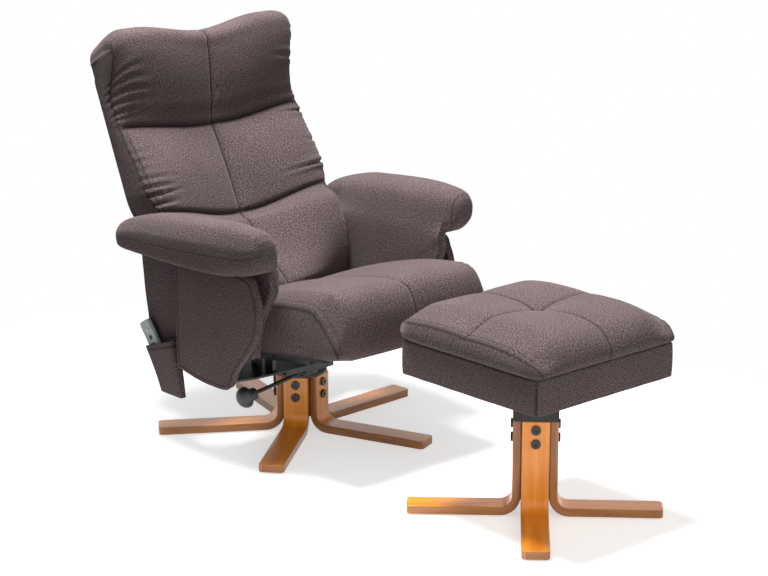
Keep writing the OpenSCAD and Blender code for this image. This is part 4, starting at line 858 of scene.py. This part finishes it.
# %% [markdown]
# The footstool's lid is a cushion of four stuffed quarters. Its top panel rolls over the front edge, as
# the seat's does, and a band closes each side. Where the two seams cross, the cushion is drawn down.
# %% Lid cushion
STOOL_X, STOOL_Y = 4 * MM, -836 * MM
LID_HALF_X, LID_HALF_Y, LID_Z, LID_PUFF = 230 * MM, 225 * MM, 416 * MM, 16 * MM
LID_MIDDLE = [(-0.93, 0.5), (-0.985, 6), (-1.01, 27), (-0.975, 48), (-0.85, 65), (-0.55, 73), (-0.25, 75),
              (0, 76), (0.25, 77), (0.55, 76), (0.82, 66), (0.955, 46), (1.005, 25), (0.99, 8), (0.93, 0.5)]
LID_SIDE = [(-0.93, 0.5), (-0.985, 6), (-1.005, 22), (-0.975, 37), (-0.87, 46), (-0.55, 52), (-0.25, 54),
            (0, 54), (0.25, 52), (0.55, 48), (0.8, 40), (0.93, 28), (0.98, 17), (0.98, 7), (0.93, 0.5)]
LID_CREASES = [(-1, 0.62, 0.22, 4, 0.05), (-1, 0.7, 0.26, 4, 0.05), (-1, 0.78, 0.3, 4, 0.04),
               (-1, 0.86, 0.25, 3, 0.03), (1, 0.75, 0.25, 3, 0.03), (-1, -0.5, 0.2, 3, -0.03)]


def lid_shape(u, share, off):
    """Pillow: puff * ((1 - |u|^5)(1 - |v|^5))^0.6, less a bite and a dip along both seams, and the tuft."""
    top = smooth_step((off - 28) / 22)
    v = np.clip(np.abs(share), 0, 1)
    stuffed = LID_PUFF * ((1 - np.abs(u) ** 5) * (1 - v**5)) ** 0.6 * top
    to_seam = [np.abs(u) * LID_HALF_X, v * LID_HALF_Y]
    bite = sum(2 * MM * bell(d, 5 * MM) + 5 * MM * np.exp(-(d / (26 * MM))) for d in to_seam)
    from_tuft = np.hypot(*to_seam)
    tuft = 12 * MM * np.exp(-((from_tuft / (24 * MM)) ** 1.3))
    tuft = tuft + 9 * MM * np.exp(-((from_tuft / (75 * MM)) ** 1.5))
    near_corner = smooth_step((share - 0.45) / 0.2)
    gather = mix(0.5, 1.6, near_corner) * MM * np.exp(-(1 - np.abs(u)) / 0.05)
    gather = gather * puckers(share * LID_HALF_Y, 24 * MM)
    lost = (bite + gather + creases(u, share, LID_CREASES, LID_HALF_Y)) * top
    return xyz(share * LID_HALF_Y, off * MM + stuffed - tuft - lost)


lid_stations = clustered((-1, 0, 1), (54, 54))
lid_rows = clustered((0, 7, 14), (64, 64), pull=0.5)
x_share, lift, loop = cushion_grid(LID_MIDDLE, LID_SIDE, lid_rows, lid_stations, 0.5 * MM, 12, lid_shape,
                                   turn_from=0.6)
turn_under = 1 - np.sqrt(1 - np.clip(1 - loop[..., 1] / (17 * MM), 0, 1) ** 2)
corner_cut = 15 * MM * smooth_step((np.abs(loop[..., 0]) - 165 * MM) / (60 * MM)) ** 2
lid_x = x_share * (LID_HALF_X - corner_cut - 15 * MM * turn_under) + lift * 5 * MM
lid_world = xyz(STOOL_X + lid_x, STOOL_Y - loop[..., 0], LID_Z + loop[..., 1])
across, side_gap, front = seam_gaps(x_share, lift, lid_stations, LID_HALF_X)
cross_seam = np.abs(loop[..., 0]) + ~front + (np.abs(lift) > 0)
# Painted shade along the lid's seams, across the crossing seam and beside the border's topstitching.
marks = painted_seam_shade(across + ~front, cross_seam, side_gap) + painted_topstitch_shade(side_gap) * front
make_cushion("lid", lid_world, lid_stations, marks, "stool_lid", 0.9, (14, 118), (0.978, 0.948))

# %% [markdown]
# The storage box wears a tight sleeve of the same cloth over its wooden walls, with a seam at each corner.
# A section of the sleeve, from its folded top edge down the outside to its folded hem, goes round the box.
# %% Box sleeve
BOX_X, BOX_Y = 222 * MM, 214 * MM
sleeve = np.array([(4.6, 415), (1.5, 415.2), (0.2, 413.5), (0, 408), (-0.6, 395), (-0.9, 375), (-0.6, 352),
                   (0, 340), (0.3, 336.4), (1.6, 335), (4.6, 335.2)]) * MM
SLEEVE_CORNER = 6 * MM

rings = [rounded_section(BOX_X - inset, BOX_Y - inset, SLEEVE_CORNER, 7, 26) for inset, _ in sleeve]
points = np.stack([xyz(*ring.T, z) for ring, (_, z) in zip(rings, sleeve)])
wave = 0.7 * MM * puckers(np.arange(points.shape[1]) * 14 * MM, 130 * MM)
wave = wave * np.linspace(0, 1, len(sleeve))[:, None]
points[..., 2] -= wave * (points[..., 2] < 345 * MM)
corner_gap = np.hypot(np.abs(points[..., 0]) - BOX_X, np.abs(points[..., 1]) - BOX_Y)
# Painted shade in the seams at the four corners of the sleeve.
box_sleeve = grid_object("box_sleeve", points + (STOOL_X, STOOL_Y, 0), cloth, close=(True, True),
                         seam=0.8 * bell(np.maximum(corner_gap - 2 * MM, 0), 1.5 * MM))
dress(box_sleeve, "footstool", "stool_box_cover")
print("box sleeve:", len(box_sleeve.data.polygons), "faces")

# %% [markdown]
# The legs are strips of thin beech veneers, glued and bent in a press. A leg stands against the hub,
# turns outwards in one tight bend and lies flat to its rounded tip. The mesh is a rounded rectangle
# carried along that line, and every point remembers its place in the strip: how far along, across and
# through. The grain and the glue lines are drawn with these three numbers, so they follow the bend.
# %% Bent legs
LEG_W, LEG_T, BEND_R, TIP_R, GLIDE_T = 64 * MM, 20 * MM, 28 * MM, 12 * MM, 3 * MM
VENEER = 1.55 * MM


def make_bentwood():
    """Faces: honey with fine drawn-out grain. Edges: brown veneers, wave = sin(2 pi ply / veneer)."""
    material, feed = fresh("bentwood", Roughness=0.34, Coat_Weight=0.32, Coat_Roughness=0.14)
    place = mark("strip")["Vector"]
    run, across, ply = add_node("SeparateXYZ", {0: place}).outputs[:3]
    fibre = noise(place, 1, 5, 0.62, (7, 260, 60))
    figure = noise(place, 1, 3, 0.5, (2.2, 38, 8))
    pores = noise(place, 1, 2, 0.5, (60, 1500, 600))
    face = ramp(fibre, (0.33, (228, 122, 24)), (0.68, (253, 172, 56)), (0.5, (246, 148, 34)))
    cloudy = ramp(figure, (0.35, (226, 122, 30)), (0.65, (253, 178, 74)), (0.5, (243, 148, 46)))
    dark = ramp(pores, (0.62, (0, 0, 0, 1)), (0.74, (0.3, 0.3, 0.3, 1)))
    face = blend_colours(dark, blend_colours(0.55, face, cloudy), srgb(140, 72, 26))
    wander = times(noise(place, 1, 2, 0.5, (14, 1, 1)), 0.5 * MM)
    wave = maths("SINE", times(plus(ply, wander), 2 * np.pi / VENEER))
    layer = ranged(wave, -1.0, 1.0)
    edge = ramp(layer, (0.02, (88, 50, 20)), (0.9, (204, 134, 62)), (0.3, (158, 94, 40)))
    stripe = ramp(fibre, (0.35, (124, 70, 28)), (0.65, (206, 138, 68)))
    rim = ranged(maths("ABSOLUTE", across), LEG_W / 2 - 2.2 * MM, LEG_W / 2 - 0.4 * MM)
    feed("Base Color", blend_colours(rim, face, blend_colours(0.4, edge, stripe)))
    feed("Normal", bump(plus(fibre, times(layer, rim)), 0.18, 0.25 * MM))
    return material


bentwood = make_bentwood()
SOFT_END = 2 * MM


def bent_leg(name, in_r, top_z, reach, heading, centre, body):
    """Section * width(run) carried down the post, round the bend and out to the tip."""
    mid_r, foot_z, bend = in_r + LEG_T / 2, GLIDE_T + LEG_T / 2, BEND_R + LEG_T / 2
    turn, tip = right_angle(15), right_angle(12)
    top = top_z - SOFT_END * (1 - np.sin(right_angle(5)))[::-1]
    post = join([top, np.linspace(top_z - 4 * MM, foot_z + bend + 3 * MM, 12)])
    foot = np.linspace(mid_r + bend + 4 * MM, reach - TIP_R - 4 * MM, 22)
    out = join([foot, reach - TIP_R + TIP_R * np.sin(tip)])
    r = join([np.full(len(post), mid_r), mid_r + bend * (1 - np.cos(turn)), out])
    z = join([post, foot_z + bend * (1 - np.sin(turn)), np.full(len(out), foot_z)])
    lean = join([0 * post, turn, np.full(len(out), np.pi / 2)])
    past_tip = np.maximum(r - reach + TIP_R, 0)
    to_end = join([top_z - post, 0 * turn + 1, reach - out])
    width = 1 - (TIP_R - np.sqrt(np.maximum(TIP_R**2 - past_tip**2, 0))) / (LEG_W / 2)
    near_end = np.maximum(SOFT_END - to_end, 0)
    thin = 1 - (SOFT_END - np.sqrt(np.maximum(SOFT_END**2 - near_end**2, 0))) / (LEG_T / 2)
    section = rounded_section(LEG_W / 2, LEG_T / 2, 2.2 * MM)
    across, ply = width[:, None] * section[:, 0], thin[:, None] * section[:, 1]
    far, high = r[:, None] + ply * np.cos(lean)[:, None], z[:, None] + ply * np.sin(lean)[:, None]
    c, s = np.cos(np.radians(heading)), np.sin(np.radians(heading))
    world = xyz(centre[0] + far * c - across * s, centre[1] + far * s + across * c, high)
    cut_face = (reach - r < 0.6 * MM)[:, None]
    strip = xyz(run_of(xyz(r, z))[:, None] + heading / 90, mix(section[:, 0], LEG_W / 2, cut_face), ply)
    piece = grid_object(name + "_bent", with_poles(world), bentwood, strip=with_poles(strip))
    dress(piece, body, name, slot="honey_wood")


for k in range(5):
    bent_leg(f"base_leg_{k + 1}", 44.53 * MM, 150 * MM, 367 * MM, 218.5 + 72 * k, (0, 0), "base")
for k in range(4):
    bent_leg(f"stool_leg_{k + 1}", 32.35 * MM, 239 * MM, 296 * MM, 225 + 90 * k, (STOOL_X, STOOL_Y),
             "footstool")
print("nine legs of bent wood")

# %% [markdown]
# The parts that are right as the construction gives them only need a finish. Powder coat is slightly
# pebbled, zinc-plated steel is brushed one way, moulded plastic has a fine spark-eroded grain, and
# plywood shows long fibres. Each is a short recipe of noises on the object's own coordinates.
# %% Finishes of the hard parts
def pebbled(name, low, high, rough, scale, bumpy):
    """Colour between low and high by coarse noise, with a fine noise as bump and as uneven gloss."""
    material, feed = fresh(name)
    place = own_place()
    feed("Base Color", ramp(noise(place, 26, 4, 0.6), (0.35, low), (0.65, high)))
    feed("Roughness", ranged(noise(place, 9, 3, 0.5), 0.35, 0.65, rough - 0.06, rough + 0.06))
    feed("Normal", bump(noise(place, scale, 3, 0.55), bumpy, 0.2 * MM))
    return material


def brushed(name, low, high, rough, along):
    """Steel: noise drawn out along one axis gives the brushing, in colour, gloss and bump."""
    material, feed = fresh(name, Metallic=1.0)
    lines = noise(own_place(), 1, 4, 0.6, along)
    feed("Base Color", ramp(lines, (0.3, low), (0.7, high)))
    feed("Roughness", ranged(lines, 0.3, 0.7, rough - 0.07, rough + 0.07))
    feed("Normal", bump(lines, 0.12, 0.1 * MM))
    return material


def birch(name):
    """Raw plywood: fibres drawn out along Y, under a wider and softer clouding."""
    material, feed = fresh(name, Roughness=0.62)
    place = own_place()
    fibre = noise(place, 1, 4, 0.6, (140, 9, 140))
    cloudy = noise(place, 1, 3, 0.5, (9, 2, 9))
    tint = ramp(fibre, (0.32, (172, 138, 96)), (0.68, (216, 188, 148)), (0.5, (198, 167, 124)))
    cloudy = ramp(cloudy, (0.35, (180, 146, 104)), (0.65, (220, 194, 156)))
    feed("Base Color", blend_colours(0.4, tint, cloudy))
    feed("Normal", bump(fibre, 0.2, 0.3 * MM))
    return material


FINISHES = {
    "black_steel": ("black_powder_coat", (24, 24, 26), (36, 35, 37), 0.42, 900, 0.25),
    "black_plastic": ("black_plastic", (24, 24, 26), (32, 32, 34), 0.5, 1400, 0.2),
    "charcoal_plastic": ("charcoal_plastic", (38, 38, 41), (52, 52, 55), 0.48, 1100, 0.3),
    "silver_plastic": ("silver_plastic", (150, 160, 157), (178, 187, 184), 0.3, 1500, 0.12),
    "rubber": ("floor_rubber", (28, 27, 27), (40, 39, 39), 0.78, 700, 0.4),
}
OWN_FINISHES = {
    "button_power": ("bright_key", (196, 200, 198), (214, 217, 214), 0.3, 1500, 0.1),
    # The stool post's black coat, made darker and duller than the other black steel as painted shade under
    # the box.
    "stool_post": ("post_coat_and_painted_shade", (18, 17, 17), (26, 25, 25), 0.6, 800, 0.3),
    # Painted shade: the seat board under the seat gets a near-black finish in place of plywood, for the shade
    # that falls there.
    "seat_board": ("seat_board_painted_shade", (26, 24, 25), (38, 35, 36), 0.8, 500, 0.4),
}
finishes = {slot: pebbled(*recipe) for slot, recipe in FINISHES.items()}
finishes["plywood"] = birch("raw_plywood")
finishes["bright_steel"] = brushed("bright_steel", (168, 170, 173), (205, 206, 208), 0.3, (30, 30, 900))
own_finish = {node: pebbled(*recipe) for node, recipe in OWN_FINISHES.items()}
# Painted shade: the seat slides under the seat take the black powder coat in place of bright steel; the knob
# rod takes it too.
own_finish.update(knob_rod=finishes["black_steel"], seat_slides=finishes["black_steel"])
for row in frame["record"]["subparts"]:
    finish = own_finish.get(row["node"], finishes.get(row["material_slot"]))
    if finish:
        for socket in frame["nodes"][row["node"]].material_slots:
            socket.material = finish
print("finishes:", ", ".join(finishes))

# %% [markdown]
# The studio is plain: a pale floor that keeps the shadow, one strong soft lamp almost overhead and a
# little behind the set, a weak wide one low in front of it, and an even sky. The camera sees the sky as
# white, and the floor turns into the same white a short way round the set, so no horizon shows.
# %% Studio
WHITE, BLACK, FLOOR_GREY = (1, 1, 1, 1), (0, 0, 0, 1), (0.8, 0.8, 0.8, 1)
FLOOR_SIZE, FLOOR_CLEAR, FLOOR_FADE, FLOOR_GLOW, SKY_LEVEL = 14, 0.5, 0.7, 0.56, 0.34
SET_MIDDLE = np.array([-0.05, -0.35, 0.4])


def white_to_camera():
    """1 for the rays that see a background: camera, gloss and glass."""
    ray = add_node("LightPath").outputs
    mirrored = maths("MAXIMUM", ray["Is Glossy Ray"], ray["Is Transmission Ray"])
    return maths("MAXIMUM", ray["Is Camera Ray"], mirrored)


def make_floor():
    """Shaded near the set, glowing white away from it: k = smooth((distance - clear) / fade)."""
    material, feed = fresh("studio_floor", Roughness=0.95, Specular_IOR_Level=0.0, Emission_Color=WHITE)
    centred = {"Vector": own_place(), "Location": (0, 0.37, 0), "Scale": (1, 0.62, 1)}
    centred = add_node("Mapping", centred).outputs[0]
    away = add_node("VectorMath", {0: centred}, operation="LENGTH").outputs["Value"]
    k = ranged(away, FLOOR_CLEAR, FLOOR_CLEAR + FLOOR_FADE, interpolation_type="SMOOTHSTEP")
    feed("Base Color", blend_colours(k, FLOOR_GREY, BLACK))
    shine = plus(times(k, 1 - FLOOR_GLOW), FLOOR_GLOW)
    feed("Emission Strength", times(shine, white_to_camera()))
    corners = np.array([(-1, -1, 0), (1, -1, 0), (1, 1, 0), (-1, 1, 0)]) * FLOOR_SIZE
    link("studio_floor", smooth_mesh("studio_floor", corners, [(0, 1, 2, 3)], material))


def make_sky():
    """Grey light for the object, and white for the rays that see a background."""
    world = bpy.data.worlds.new("studio_sky")
    bpy.context.scene.world = world
    world.use_nodes = True
    tree = opened["tree"] = world.node_tree
    strength = plus(times(white_to_camera(), 1 - SKY_LEVEL), SKY_LEVEL)
    tree.links.new(strength, tree.nodes["Background"].inputs["Strength"])
    tree.nodes["Background"].inputs["Color"].default_value = WHITE


def make_lamp(name, azimuth, elevation, distance, size, watts):
    """An area lamp at those angles round the chair, aimed at the middle of the set."""
    data = bpy.data.lights.new(name, "AREA")
    data.shape, data.size, data.energy = "DISK", size, watts
    axes = view_axes(np.radians(azimuth), np.radians(elevation))
    aim(link(name, data), axes, axes[2] * distance + SET_MIDDLE)


make_floor()
make_sky()
make_lamp("key_lamp", azimuth=-140, elevation=81, distance=4.2, size=1.5, watts=400)
make_lamp("fill_lamp", azimuth=-12, elevation=13, distance=4.5, size=2.2, watts=40)
print("studio ready")
